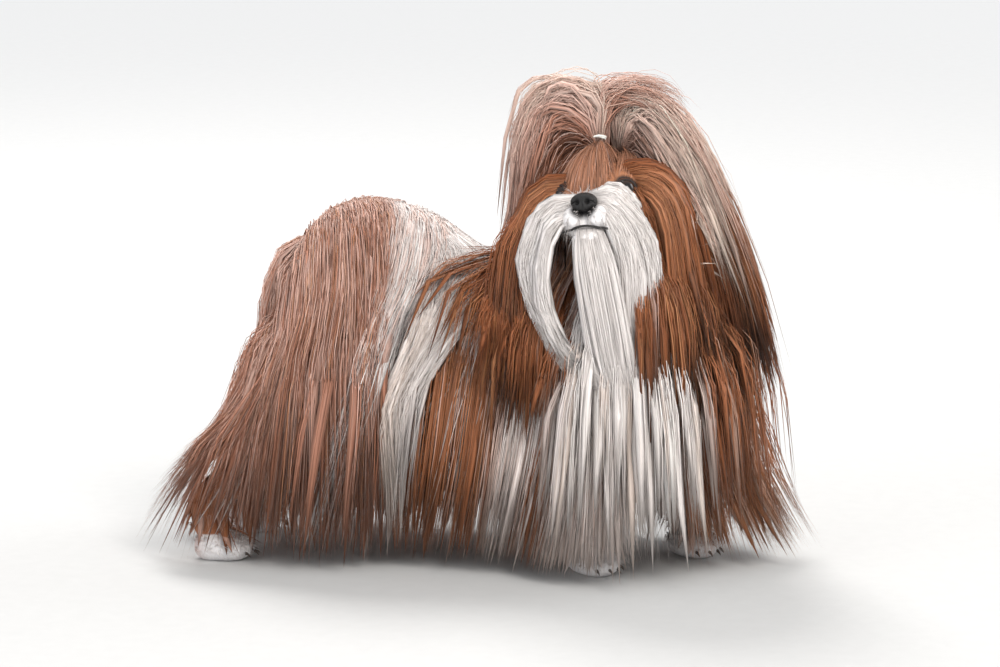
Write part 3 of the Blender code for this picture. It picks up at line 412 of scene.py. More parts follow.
    def hind_leg(self, side: int) -> Form:
        """Hind leg: a full thigh, the stifle forward, the hock back and the pastern upright."""
        hips, hind = self.hips, self.hind
        out = self.hind_left * self.hind_spacing * side
        hock = hips + out - hind * (0.138 + 0.008 * -side)
        return Form([
            (hips + self.hind_left * 0.040 * side + UP * 0.196 - hind * 0.006, 0.026, 0.040, 0.040),
            (hips + out * 0.86 + UP * 0.158 - hind * 0.012, 0.027, 0.042, 0.046),
            (hips + out * 0.98 + UP * 0.116 - hind * 0.050, 0.022, 0.034, 0.032),
            (hips + out + UP * 0.086 - hind * 0.098, 0.017, 0.021, 0.021),
            (hock + UP * 0.058, 0.015, 0.016, 0.016),
            (hock + hind * 0.004 + UP * 0.020, 0.016, 0.017, 0.017),
        ], unit(hind * 0.8 + DOWN * 0.6), cap=0.10, end_cap=0.10)

    def paw(self, ankle: Array, forward: Array) -> Form:
        """Round, firm paw pointing forward from the ankle."""
        return Form([
            (ankle - forward * 0.018 + UP * 0.012, 0.016, 0.012, 0.014),
            (ankle + UP * 0.013, self.paw_half_width - 0.003, self.paw_height - 0.010, 0.016),
            (ankle + forward * 0.018 + UP * 0.012, self.paw_half_width, self.paw_height - 0.013, 0.015),
            (ankle + forward * 0.036 + UP * 0.008, 0.016, 0.010, 0.010),
        ], UP, cap=0.25)

    def toes(self, ankle: Array, forward: Array) -> list:
        """Four toes side by side at the front of a paw."""
        aside = left_of(forward)
        forms = []
        for step, reach in ((-1.5, 0.028), (-0.5, 0.035), (0.5, 0.035), (1.5, 0.028)):
            root = ankle + aside * step * 0.0085
            forms.append(Form([
                (root + forward * 0.006 + UP * 0.012, 0.006, 0.008, 0.008),
                (root + forward * reach * 0.7 + aside * step * 0.001 + UP * 0.0115, 0.0062, 0.0085, 0.0095),
                (root + forward * reach + aside * step * 0.0015 + UP * 0.0075, 0.0055, 0.006, 0.0065),
            ], UP, cap=0.3))
        return forms

    def ear_frame(self, side: int) -> tuple:
        """(root, outward side) of an ear."""
        return self.at(-0.014, side * 0.040, 0.024), unit(self.left * side + UP * 0.1)

    def ear(self, side: int) -> Form:
        """Ear leather: a flat drop from the side of the skull."""
        root, out = self.ear_frame(side)
        return Form([
            (root, 0.012, 0.005, 0.005),
            (root + out * 0.016 + DOWN * 0.006, self.ear_half_width, 0.0045, 0.0045),
            (root + out * 0.024 + DOWN * self.ear_length * 0.5, self.ear_half_width + 0.002, 0.004, 0.004),
            (root + out * 0.026 + DOWN * self.ear_length, 0.011, 0.003, 0.003),
        ], out * side, cap=0.15)

    def ear_coat(self, side: int) -> Form:
        """Room that the fringe of one ear takes, which the topknot's fall lies over."""
        root, out = self.ear_frame(side)
        return Form([
            (root + out * 0.004, 0.016, 0.009, 0.005),
            (root + out * 0.036 + DOWN * 0.030, 0.028, 0.010, 0.008),
            (root + out * 0.058 + DOWN * 0.090, 0.034, 0.010, 0.008),
            (root + out * 0.064 + DOWN * 0.180, 0.034, 0.010, 0.008),
        ], out * side)


BODY = Body()
FORMS = BODY.forms


# Colours and markings


class Tone(Enum):
    """Colours of the hair and skin, linear."""

    WHITE = (0.90, 0.88, 0.88)
    CREAM = (0.78, 0.66, 0.58)
    # The pink tone is pinkish hair, and it also stands in for the silky highlights on brown hair: partly a
    # painted highlight.
    PINK_AND_SHEEN = (0.78, 0.56, 0.49)
    GOLD = (0.60, 0.290, 0.130)
    FAWN = (0.47, 0.235, 0.165)
    BROWN = (0.430, 0.180, 0.085)
    RUST = (0.330, 0.105, 0.036)
    UMBER = (0.120, 0.044, 0.021)
    SOOT = (0.030, 0.015, 0.011)
    BLACK = (0.010, 0.008, 0.008)

    @property
    def rgb(self) -> Array:
        """The colour as an array."""
        return np.array(self.value)


@dataclass(frozen=True)
class Markings:
    """Where the coat is white, brown and dark, by the place of the root on its form.

    Attributes:
        loin: start and end of the white saddle behind the brown one, as shares of the torso.
        shoulder: share of the torso that is white from the front on the dog's right.
        bib: headings between which neck and breast are white, in degrees from -Y towards -X.
        tail_white: share of the tail at which its tip turns white.
        blaze: share of the head from which the muzzle is white.
    """

    loin: tuple = (0.71, 0.80)
    shoulder: float = 0.50
    bib: tuple = (32.0, 112.0)
    tail_white: float = 0.69
    blaze: float = 0.70

    def bib_share(self, out: Array, low: float, high: float) -> Array:
        """How white a root is that faces the side out, between two headings."""
        turn = np.degrees(np.arctan2(-out[..., 0], -out[..., 1]))
        return rise(low - 6, low + 6, turn) * (1 - rise(high - 6, high + 6, turn))

    def root(self, name: str, t: Array, degrees: Array) -> Array:
        """Base colour of the skin and coat at a root.

        Args:
            name: the form that the root is on.
            t: place along the form.
            degrees: angle round the form, from its side.

        Returns:
            One colour for each root.
        """
        t, degrees = np.broadcast_arrays(np.asarray(t, float), np.asarray(degrees, float))
        a = np.radians(degrees)
        white, brown, rust = Tone.WHITE.rgb, Tone.BROWN.rgb, Tone.RUST.rgb
        if name == "torso":
            out = FORMS[name].surface(t, degrees)[1]
            low, high = self.loin
            aside = np.abs(degrees - 90)
            band = rise(low - 0.02, low + 0.03, t) * (1 - rise(high - 0.03, high + 0.03, t))
            band = band * (1 - rise(55, 70, aside))
            top = (1 - rise(26, 38, aside)) * rise(0.40, 0.46, t) * (1 - rise(high, high + 0.08, t))
            right = out[:, 0] < 0.25
            fore = (1 - rise(self.shoulder - 0.03, self.shoulder + 0.04, t)) * right * rise(22, 34, aside)
            front = self.bib_share(out, *self.bib) * (t < 0.2)
            side = (1 - rise(0.10, 0.20, t)) * right * self.bib_share(out, self.bib[0], 200.0)
            base = mix(brown, Tone.FAWN.rgb, rise(0.66, 0.76, t))
            return mix(base, white, np.maximum.reduce((band, top, fore * (t > 0.15), front, side)))
        if name == "neck":
            out = FORMS[name].surface(t, degrees)[1]
            return mix(mix(brown, rust, 0.5), white, self.bib_share(out, *self.bib))
        if name == "tail":
            return mix(Tone.FAWN.rgb, white, rise(self.tail_white - 0.04, self.tail_white + 0.04, t))
        if name == "head":
            return mix(brown, white, rise(self.blaze - 0.03, self.blaze + 0.03, t + 0.10 * (np.sin(a) < -0.4)))
        if name.startswith("paw"):
            return mix(white, rust, (1 - rise(0.05, 0.3, t)) * 0.5)
        if name == "leg_front_left":
            return mix(brown, white, 0.45) + 0 * t[..., None]
        if name.startswith("leg_front"):
            return mix(white, brown, 0.25) + 0 * t[..., None]
        if name.startswith("leg"):
            return mix(rust, brown, 0.4) + 0 * t[..., None]
        return mix(mix(brown, rust, 0.4), Tone.UMBER.rgb, rise(0.3, 0.9, t) * 0.5)


MARKINGS = Markings()


# Strands


@dataclass
class Wisps:
    """Paths that strands follow: one row each, with their points closest where they bend.

    Attributes:
        path: places, of shape (count, points, 3).
        side: outward side of each place.
        share: share of the length at each place.
        length: length of each path.
        root: colour at the root, and tip the colour at the tip.
        patch: place of the root on the unwrap.
    """

    path: Array
    side: Array
    share: Array
    length: Array
    root: Array
    tip: Array
    patch: Array

    def __len__(self) -> int:
        return len(self.path)


SINK = 0.005
STEP = 0.011
STEPS = 44
POINTS = 28
LIFT_OFF = 0.035
TOUCH = 0.05
SPREAD_HEIGHT = 0.14
LOWEST = 0.0012
DARKEST, PALEST = 0.004, 0.92


def drape(place: Array, out: Array, leave: Array, over: list, reach: Array, bend: Array = 0.26,
          spread: Array = 0.0, tip: Array = 0.012, sway: Array = (0, 0, 0)) -> tuple:
    """Paths of hairs that fall under their own weight and lie over the forms beneath them.

    In each step a hair's direction turns by the share bend towards the ground, then the new point is pushed out
    of every form to its distance, which it reaches over the length LIFT_OFF. A hair ends at the length reach or
    the height tip.

    Args:
        place: roots on the skin. out is their outward side and leave the direction in which they set off.
        over: pairs of a form and the distances to keep from it.
        reach: lengths.
        bend: share by which the direction turns in a step.
        spread: how far a hair is pushed outward as it nears the floor.
        tip: lowest heights.
        sway: lean of the fall.

    Returns:
        (places, outward sides), each of shape (count, steps, 3).
    """
    n = len(place)
    reach, bend, spread, tip = (column(value, n) for value in (reach, bend, spread, tip))
    here, facing = place + out * 0.001, out.copy()
    path, sides = [place - out * SINK, here], [out, out]
    direction, alive, travelled = unit(leave), np.ones((n, 1), bool), 0.0
    for _ in range(STEPS):
        near_floor = np.clip(1 - here[:, 2:] / SPREAD_HEIGHT, 0, None)
        flat = facing * (1, 1, 0)
        pull = unit(DOWN + np.asarray(sway) + flat * spread * near_floor)
        direction = unit(direction * (1 - bend) + pull * bend)
        there = here + direction * STEP
        travelled += STEP
        for form, distance in over:
            away, push, _, _ = form.measure(there)
            away = away[:, None]
            wanted = column(distance, n) * min(1.0, travelled / LIFT_OFF)
            there = there + push * np.clip(wanted - away, 0, None)
            facing = np.where(away < TOUCH, unit(facing * 0.6 + push * 0.4), facing)
        step = there - here
        direction = unit(step)
        low = there[:, 2:] <= tip
        share = np.clip((here[:, 2:] - tip) / np.maximum(here[:, 2:] - there[:, 2:], 1e-6), 0.05, 1)
        there = np.where(alive, np.where(low, here + step * share, there), here)
        path.append(there)
        sides.append(facing)
        alive = alive & ~low & (travelled < reach)
        here = there
        if not alive.any():
            break
    return np.stack(path, axis=1), np.stack(sides, axis=1)


def even(path: Array, side: Array, points: int = POINTS, bend: float = 0.16) -> tuple:
    """Paths with their points spread anew: a step is as long as its length plus bend times the angle it turns.

    Args:
        path: places of shape (count, steps, 3), and side their outward sides.
        points: how many points each path gets.
        bend: length that a turn of one radian counts as.

    Returns:
        (places, outward sides, shares of the length, lengths).
    """
    step = np.diff(path, axis=1)
    gaps = np.linalg.norm(step, axis=-1)
    along = unit(step)
    turn = np.arccos(np.clip((along[:, :-1] * along[:, 1:]).sum(-1), -1, 1))
    turn = np.where((gaps[:, :-1] > 1e-5) & (gaps[:, 1:] > 1e-5), turn, 0)
    zero = np.zeros((len(path), 1))
    run = np.concatenate((zero, np.cumsum(gaps + bend * np.concatenate((turn, zero), axis=1), axis=1)), axis=1)
    reach = np.concatenate((zero, np.cumsum(gaps, axis=1)), axis=1)
    wanted = run[:, -1:] * np.linspace(0, 1, points)
    i = np.clip((run[:, :, None] <= wanted[:, None, :]).sum(1) - 1, 0, path.shape[1] - 2)
    row = np.arange(len(path))[:, None]
    f = np.clip((wanted - run[row, i]) / np.maximum(run[row, i + 1] - run[row, i], 1e-7), 0, 1)
    length = reach[:, -1]
    share = lerp(reach[row, i], reach[row, i + 1], f) / np.maximum(length, 1e-6)[:, None]
    f = f[..., None]
    return mix(path[row, i], path[row, i + 1], f), unit(mix(side[row, i], side[row, i + 1], f)), share, length


@dataclass(frozen=True)
class Cut:
    """How strands follow a wisp.

    Attributes:
        width: width of a strand, in metres.
        section: corners of a strand's section, in half widths across and outward.
        radius: how far from its wisp a strand grows, and depth how far outward.
        gather: share of that distance that is lost at the tip.
        wave: how far a strand wanders.
        shorten: shortest strand, as a share of the wisp.
        sink: how far under its wisp a strand lies.
        rings: points along a strand.
        roll: how far a strand is turned about itself, in radians.
        stray: share of strands that fly loose.
        taper: widths at 0, 15, 55, 85 and 100 per cent of the length.
    """

    width: float = 0.0010
    section: tuple = ((-1.0, 0.0), (1.0, 0.0), (0.0, 0.9))
    radius: float = 0.0050
    depth: float = 0.0024
    gather: float = 0.15
    wave: float = 0.0014
    shorten: float = 0.72
    sink: float = 0.0
    rings: int = 6
    roll: float = 0.6
    stray: float = 0.03
    taper: tuple = (0.55, 1.0, 0.95, 0.6, 0.12)


def lock(width: float, rings: int = 6, shorten: float = 0.80, sink: float = 0.0030) -> Cut:
    """A broad flat lock that lies under the fine strands, with its edges lower than its middle."""
    return Cut(width=width, section=((-1.0, -0.10), (0.0, -0.16), (1.0, -0.10), (0.0, 0.06)),
               radius=width * 0.4, depth=0.0006, sink=sink, gather=0.2, wave=width * 0.10, shorten=shorten,
               rings=rings, roll=0.10, stray=0.0, taper=(0.5, 1.0, 1.0, 0.7, 0.06))


@dataclass
class Coat:
    """One piece of coat: strands that are added from wisps, and made into a mesh at the end."""

    name: str
    seed: int
    points: list = field(default_factory=list)
    faces: list = field(default_factory=list)
    colours: list = field(default_factory=list)
    fibres: list = field(default_factory=list)
    patches: list = field(default_factory=list)
    size: int = 0

    def __post_init__(self) -> None:
        self.rng = np.random.default_rng(self.seed)

    def scatter(self, count: int, t: tuple, degrees: tuple, crowd: float = 1.0) -> tuple:
        """Roots between two places along a form and two angles round it, crowded towards the first angle.

        The i-th root stands at the fractions of i times the two even shares, which never bunch.
        """
        i = np.arange(count) + self.rng.uniform(0, 50)
        a, b = (i * EVEN_SHARES[0]) % 1.0, ((i * EVEN_SHARES[1]) % 1.0) ** crowd
        return t[0] + (t[1] - t[0]) * a, degrees[0] + (degrees[1] - degrees[0]) * b

    def vary(self, value: Array, share: float, count: int) -> Array:
        """The value, up to this share of it more or less for each of count rows."""
        return np.asarray(value, float) * (1 + self.rng.uniform(-share, share, count))

    def wisps(self, name: str, t: Array, degrees: Array, place: Array, out: Array, leave: Array, over: list,
              reach: Array, root: Array, tip_colour: Array, layers: tuple = (-0.003, 0.004),
              tip: Array = 0.004, jitter: float = 0.05, **how: Array) -> Wisps:
        """Wisps that grow from the skin of a form and drape over others.

        Args:
            name: the form that they grow from, at t and degrees.
            place: roots, with out and leave as in drape.
            over: pairs of a form and the distance to keep from it.
            reach: lengths.
            root: colours at the roots, and tip_colour at the tips.
            layers: how much nearer or further than its distance a wisp may lie.
            tip: lowest height.
            jitter: how unlike each other the directions are.
            how: what else drape takes.

        Returns:
            The wisps.
        """
        n = len(place)
        lift = self.rng.uniform(*layers, n)
        over = [(form, np.maximum(np.broadcast_to(distance, n) + lift, 0.001)) for form, distance in over]
        leave = unit(leave) + self.rng.normal(0, jitter, (n, 3))
        low = np.broadcast_to(np.asarray(tip, float), n) + np.abs(self.rng.normal(0, 0.005, n))
        path, side = drape(place, out, leave, over, self.vary(reach, 0.12, n), tip=low, **how)
        return Wisps(*even(path, side), root, tip_colour, FORMS[name].unwrap(t, degrees))

    def combed(self, curves: tuple, count: int, thick: float, roots: tuple, tips: tuple, over: tuple = (),
               loose: float = 1.0, name: str = "head") -> Wisps:
        """Wisps combed along curves: each is a mix of the two curves that it lies between.

        A wisp is set back by up to thick, wanders a little, starts inside its form and is pushed out of the
        others.

        Args:
            curves: the wisps lie from the first to the last. Each is a row of (across, up, near) in millimetres
                along FACE_AXES.
            count: how many wisps.
            thick: depth of the sheet.
            roots: tones at the roots from the first to the last curve, and tips the tones at the tips.
            over: pairs of a form and the distance to keep from it.
            loose: how far they wander.
            name: the form that they grow from.

        Returns:
            The wisps.
        """
        head, rng = FORMS[name], self.rng
        over = over or ((head, 0.003), (FORMS["neck"], 0.030), (FORMS["torso"], 0.055))
        curves = np.array(curves) * MILLIMETRE
        q = rng.permutation((np.arange(count) + 0.5) / count)
        i = np.minimum((q * (len(curves) - 1)).astype(int), len(curves) - 2)
        row = mix(curves[i], curves[i + 1], (q * (len(curves) - 1) - i)[:, None, None])
        s = np.linspace(0, 1, 40)
        path = np.einsum("mk,nkc->nmc", spline(np.eye(row.shape[1]), s), row)
        grown = rise(0.0, 0.30, s)[None, :, None]
        stray = rng.normal(0, 0.0012 * loose, (count, 1, 3)) * (1, 1, 0) * (1 + 1.5 * s[None, :, None])
        bow = rng.normal(0, 0.0020 * (loose - 1), (count, 1, 3)) * np.sin(2 * np.pi * s)[None, :, None]
        path = path + (stray + bow) * grown
        path[..., 2] -= rng.uniform(0, thick, (count, 1)) * grown[..., 0]
        path = path @ FACE_AXES
        away, out, t, degrees = head.measure(path[:, 0])
        path = path - (out * np.clip(away + 0.003, 0, 0.012)[:, None])[:, None] * (1 - grown)
        for form, distance in (*over, *over):
            away, push, _, _ = form.measure(path.reshape(-1, 3))
            push = (push * np.clip(distance * np.tile(grown[0, :, 0], count) - away, 0, 0.03)[:, None])
            path = path + push.reshape(path.shape) * grown
            path[:, 1:-1] = 0.25 * path[:, :-2] + 0.5 * path[:, 1:-1] + 0.25 * path[:, 2:]
        push = head.measure(path.reshape(-1, 3))[1].reshape(path.shape)
        side = unit(push * 0.6 + FACE_AXES[2] * 0.8)
        colours = [np.stack([np.interp(q, np.linspace(0, 1, len(tones)), [tone.value[k] for tone in tones])
                             for k in range(3)], axis=-1) for tones in (roots, tips)]
        return Wisps(*even(path, side), *colours, head.unwrap(t, degrees))

    def add(self, wisps: Wisps, count: int, cut: Cut, shade: float = 0.14, dim: float = 1.0,
            accents: tuple = ()) -> None:
        """Adds count strands that follow the wisps.

        A strand's point is its wisp's point, moved across and outward by a share that shrinks towards the tip,
        and by a sine wave. Its section is a small polygon whose width tapers to a point. Pale hair takes less of
        the shade, the dimming and the accents.

        Args:
            wisps: what the strands follow.
            count: how many strands.
            cut: how they follow it.
            shade: how unlike each other their brightness is, and dim their brightness, which darkens the locks
                under the strands as painted shade.
            accents: rows of (tone, share of the strands that turn towards it, by how much at most).
        """
        rng, rings = self.rng, cut.rings
        many = len(wisps)
        g = (np.arange(count) * many // count) if count > many else rng.permutation(many)[:count]
        n = len(g)
        reach = rng.uniform(cut.shorten, 1.0, n)
        at = np.linspace(0, 1, rings)[None] * reach[:, None] * (POINTS - 1)
        i = np.minimum(at.astype(int), POINTS - 2)
        f = at - i
        row = g[:, None]
        share = lerp(wisps.share[row, i], wisps.share[row, i + 1], f)
        f = f[..., None]
        path = mix(wisps.path[row, i], wisps.path[row, i + 1], f)
        side = unit(mix(wisps.side[row, i], wisps.side[row, i + 1], f))
        along = unit(np.gradient(path, axis=1))
        out = unit(side - along * dot(side, along))
        across = np.cross(along, out)
        s = share / np.maximum(share[:, -1:], 1e-6)
        stray = (rng.random(n) < cut.stray)[:, None]
        keep = (1 - cut.gather * s ** 1.4) * rise(-0.25, 0.12, s)
        a = rng.uniform(-1, 1, n)[:, None] * cut.radius * keep
        b = rng.uniform(-0.5, 1, n)[:, None] * cut.depth * keep - cut.sink * rise(0.0, 0.2, s)
        wave = cut.wave * np.where(stray, 2.6, 1.0) * s * (wisps.length[g] / 0.12).clip(0.3, 1.6)[:, None]
        turn = rng.uniform(0, 2 * np.pi, (n, 2, 1))
        pace = rng.uniform(0.5, 1.5, (n, 1))
        a = a + wave * np.sin(2 * np.pi * pace * s + turn[:, 0])
        b = b + wave * 0.5 * np.sin(2 * np.pi * pace * 1.3 * s + turn[:, 1]) + np.where(stray, 0.004, 0) * s
        path = path + across * a[..., None] + out * b[..., None]
        path[..., 2] = np.maximum(path[..., 2], LOWEST)
        along = unit(np.gradient(path, axis=1))
        roll = rng.normal(0, cut.roll, (n, 1, 1))
        out = unit(out - along * dot(out, along))
        across = np.cross(along, out)
        out, across = out * np.cos(roll) + across * np.sin(roll), across * np.cos(roll) - out * np.sin(roll)
        taper = np.interp(s, (0, 0.15, 0.55, 0.85, 1.0), cut.taper)
        half = (self.vary(cut.width / 2, 0.3, n)[:, None] * np.where(stray, 0.6, 1.0) * taper)[..., None]
        shape = np.array(cut.section)
        k = len(shape)
        corners = path[:, :-1, None] + half[:, :-1, None] * (
            across[:, :-1, None] * shape[:, :1] + out[:, :-1, None] * shape[:, 1:])
        points = np.concatenate((corners.reshape(n, -1, 3), path[:, -1:]), axis=1)
        root, tip = wisps.root[g], wisps.tip[g]
        dark = 1 - 0.85 * rise(0.45, 0.75, root.mean(-1))
        # dim darkens the strands; on the locks that lie under the fine strands this is painted shade in the
        # depth of the coat.
        bright = ((1 - (1 - dim) * dark) * np.exp(rng.normal(0, shade, n) * (0.3 + 0.7 * dark)))[:, None, None]
        for tone, part, amount in accents:
            weight = ((rng.random(n) < part) * rng.uniform(0.4, 1.0, n) * amount * dark)[:, None]
            root, tip = mix(root, tone.rgb, weight), mix(tip, tone.rgb, weight * 0.8)
        colour = mix(root[:, None], tip[:, None], rise(0.25, 1.0, s)[..., None]) * bright
        colour = np.concatenate((np.repeat(colour[:, :-1], k, axis=1), colour[:, -1:]), axis=1)
        wide = rng.uniform(0, 3, (n, 1)) + np.concatenate(
            ((half[:, :-1] * shape[:, 0]).reshape(n, -1), np.zeros((n, 1))), axis=1)
        far = rng.uniform(0, 3, (n, 1)) + np.concatenate(
            (np.repeat((share * wisps.length[g][:, None])[:, :-1], k, axis=1),
             (share[:, -1] * wisps.length[g])[:, None]), axis=1)
        faces, place = self.template(rings, k)
        self.points.append(points.reshape(-1, 3))
        self.colours.append(np.clip(colour, DARKEST, PALEST).reshape(-1, 3))
        self.fibres.append(np.stack((wide, far), axis=-1).reshape(-1, 2))
        self.patches.append((wisps.patch[g][:, None, None] + 0.003 * place[None]).reshape(-1, 2))
        first = np.arange(n)[:, None, None] * points.shape[1]
        self.faces.append((faces[None] + first).reshape(-1, 3) + self.size)
        self.size += points.shape[0] * points.shape[1]

    @staticmethod
    def template(rings: int, k: int) -> tuple:
        """(triangles, places of their corners on a unit patch) of one strand with k corners in its section.

        Two triangles for each side between two rings, the root's end, and a fan to the point.
        """
        i, j = np.meshgrid(np.arange(rings - 2), np.arange(k), indexing="ij")
        i, j = i.reshape(-1), j.reshape(-1)
        a, b = i * k + j, i * k + (j + 1) % k
        sides = np.concatenate((np.stack((a, b, b + k), -1), np.stack((a, b + k, a + k), -1)))
        low, high = i / (rings - 1) - 0.5, (i + 1) / (rings - 1) - 0.5
        left, right = j / k - 0.5, (j + 1) / k - 0.5
        place = np.concatenate((
            np.stack((np.stack((left, low), -1), np.stack((right, low), -1), np.stack((right, high), -1)), 1),
            np.stack((np.stack((left, low), -1), np.stack((right, high), -1), np.stack((left, high), -1)), 1)))
        j, end = np.arange(k), (rings - 2) * k
        tip = np.stack((end + j, end + (j + 1) % k, np.full(k, end + k)), -1)
        low = np.full(k, 0.5 - 1 / (rings - 1))
        tip_place = np.stack((np.stack((j / k - 0.5, low), -1), np.stack(((j + 1) / k - 0.5, low), -1),
                              np.stack(((j + 0.5) / k - 0.5, np.full(k, 0.5)), -1)), 1)
        root = np.array([(0, m + 1, m) for m in range(1, k - 1)])
        root_place = np.array([((-0.5, -0.5), (m / k - 0.4, -0.5), (-0.5, -0.45)) for m in range(1, k - 1)])
        return np.concatenate((sides, tip, root)), np.concatenate((place, tip_place, root_place))

    def finish(self, material: bpy.types.Material, slot: str, *nodes: str) -> bpy.types.Object:
        """Makes the mesh, dresses it and says which CAD nodes it stands for.

        Args:
            material: finish of the strands.
            slot: not used.
            nodes: CAD nodes that the piece replaces.

        Returns:
            The piece.
        """
        faces = np.concatenate(self.faces)
        mesh = mesh_from(self.name, np.concatenate(self.points), faces)
        paint(mesh, np.concatenate(self.colours))
        flat = faces.reshape(-1)
        layers = {"OFBake": np.concatenate(self.patches), "Fibre": np.concatenate(self.fibres)[flat]}
        for name, values in layers.items():
            mesh.uv_layers.new(name=name).uv.foreach_set("vector", values.astype(np.float32).reshape(-1))
        LOG.info("%s: %d triangles", self.name, len(faces))
        return place_piece(self.name, mesh, material, slot, *nodes)


# Meshes


def mesh_from(name: str, points: Array, faces: Array) -> bpy.types.Mesh:
    """A smooth mesh from rows of points and rows of three corners."""
    mesh = bpy.data.meshes.new(name)
    faces = np.asarray(faces, np.int32)
    mesh.vertices.add(len(points))
    mesh.vertices.foreach_set("co", np.asarray(points, np.float32).reshape(-1))
    mesh.loops.add(faces.size)
    mesh.loops.foreach_set("vertex_index", faces.reshape(-1))
    mesh.polygons.add(len(faces))
    mesh.polygons.foreach_set("loop_start", np.arange(len(faces), dtype=np.int32) * faces.shape[1])
    mesh.update(calc_edges=True)
    mesh.polygons.foreach_set("use_smooth", np.full(len(faces), True))
    return mesh


def paint(mesh: bpy.types.Mesh, colours: Array) -> None:
    """Gives each point of a mesh its colour, in the attribute Markings."""
    layer = mesh.color_attributes.new("Markings", "FLOAT_COLOR", "POINT")
    rgba = np.concatenate((colours, np.ones((len(colours), 1))), axis=1)
    layer.data.foreach_set("color", rgba.astype(np.float32).reshape(-1))


def place_piece(name: str, mesh: bpy.types.Mesh, material: bpy.types.Material, slot: str,
                *nodes: str) -> bpy.types.Object:
    """An object with the mesh and material that rides on the dog and stands for the named CAD nodes."""
    piece = bpy.data.objects.new(name, mesh)
    bpy.context.scene.collection.objects.link(piece)
    mesh.materials.clear()
    mesh.materials.append(material)
    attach(piece, "root")
    if nodes:
        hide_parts(*nodes)
    return piece


def applied(obj: bpy.types.Object) -> bpy.types.Mesh:
    """The object's mesh with its modifiers applied. The object is removed."""
    bpy.context.view_layer.update()
    mesh = bpy.data.meshes.new_from_object(obj.evaluated_get(bpy.context.evaluated_depsgraph_get()))
    bpy.data.objects.remove(obj)
    return mesh


def sheet_faces(rows: int, columns: int, wrap_rows: bool = False) -> Array:
    """Triangles of a grid of points, row by row, closed round the columns, and round the rows where asked."""
    i, k = np.meshgrid(np.arange(rows if wrap_rows else rows - 1), np.arange(columns), indexing="ij")
    i, k = i.reshape(-1), k.reshape(-1)
    i1, k1 = (i + 1) % rows, (k + 1) % columns
    a, b, c, d = i * columns + k, i * columns + k1, i1 * columns + k1, i1 * columns + k
    return np.concatenate((np.stack((a, b, c), -1), np.stack((a, c, d), -1)))


def outward(points: Array, faces: Array) -> Array:
    """The faces of a closed surface, turned over if they look inward, by the sign of its volume."""
    middle = points.mean(0)
    a, b, c = (points[faces[:, k]] - middle for k in range(3))
    return faces if (a * np.cross(b, c)).sum() > 0 else faces[:, ::-1]


def tube(rings: Array, start: Array, end: Array) -> tuple:
    """(points, faces) of the closed surface through rings, of shape (rings, sides, 3), and two poles."""
    count, sides = rings.shape[:2]
    points = np.concatenate((rings.reshape(-1, 3), [start, end]))
    return points, outward(points, np.concatenate((sheet_faces(count, sides), fans(count * sides, sides))))


# Materials


class Value:
    """A shader socket that takes part in Python expressions on numbers."""

    def __init__(self, shader: "Shader", socket: bpy.types.NodeSocket) -> None:
        self.shader, self.socket = shader, socket

    def _math(self, operation: str, first: object, second: object) -> "Value":
        """The result of a Math node."""
        return self.shader.node("ShaderNodeMath", {"operation": operation}, {0: first, 1: second})

    def __add__(self, other: object) -> "Value":
        return self._math("ADD", self, other)

    def __radd__(self, other: object) -> "Value":
        return self._math("ADD", other, self)

    def __mul__(self, other: object) -> "Value":
        return self._math("MULTIPLY", self, other)


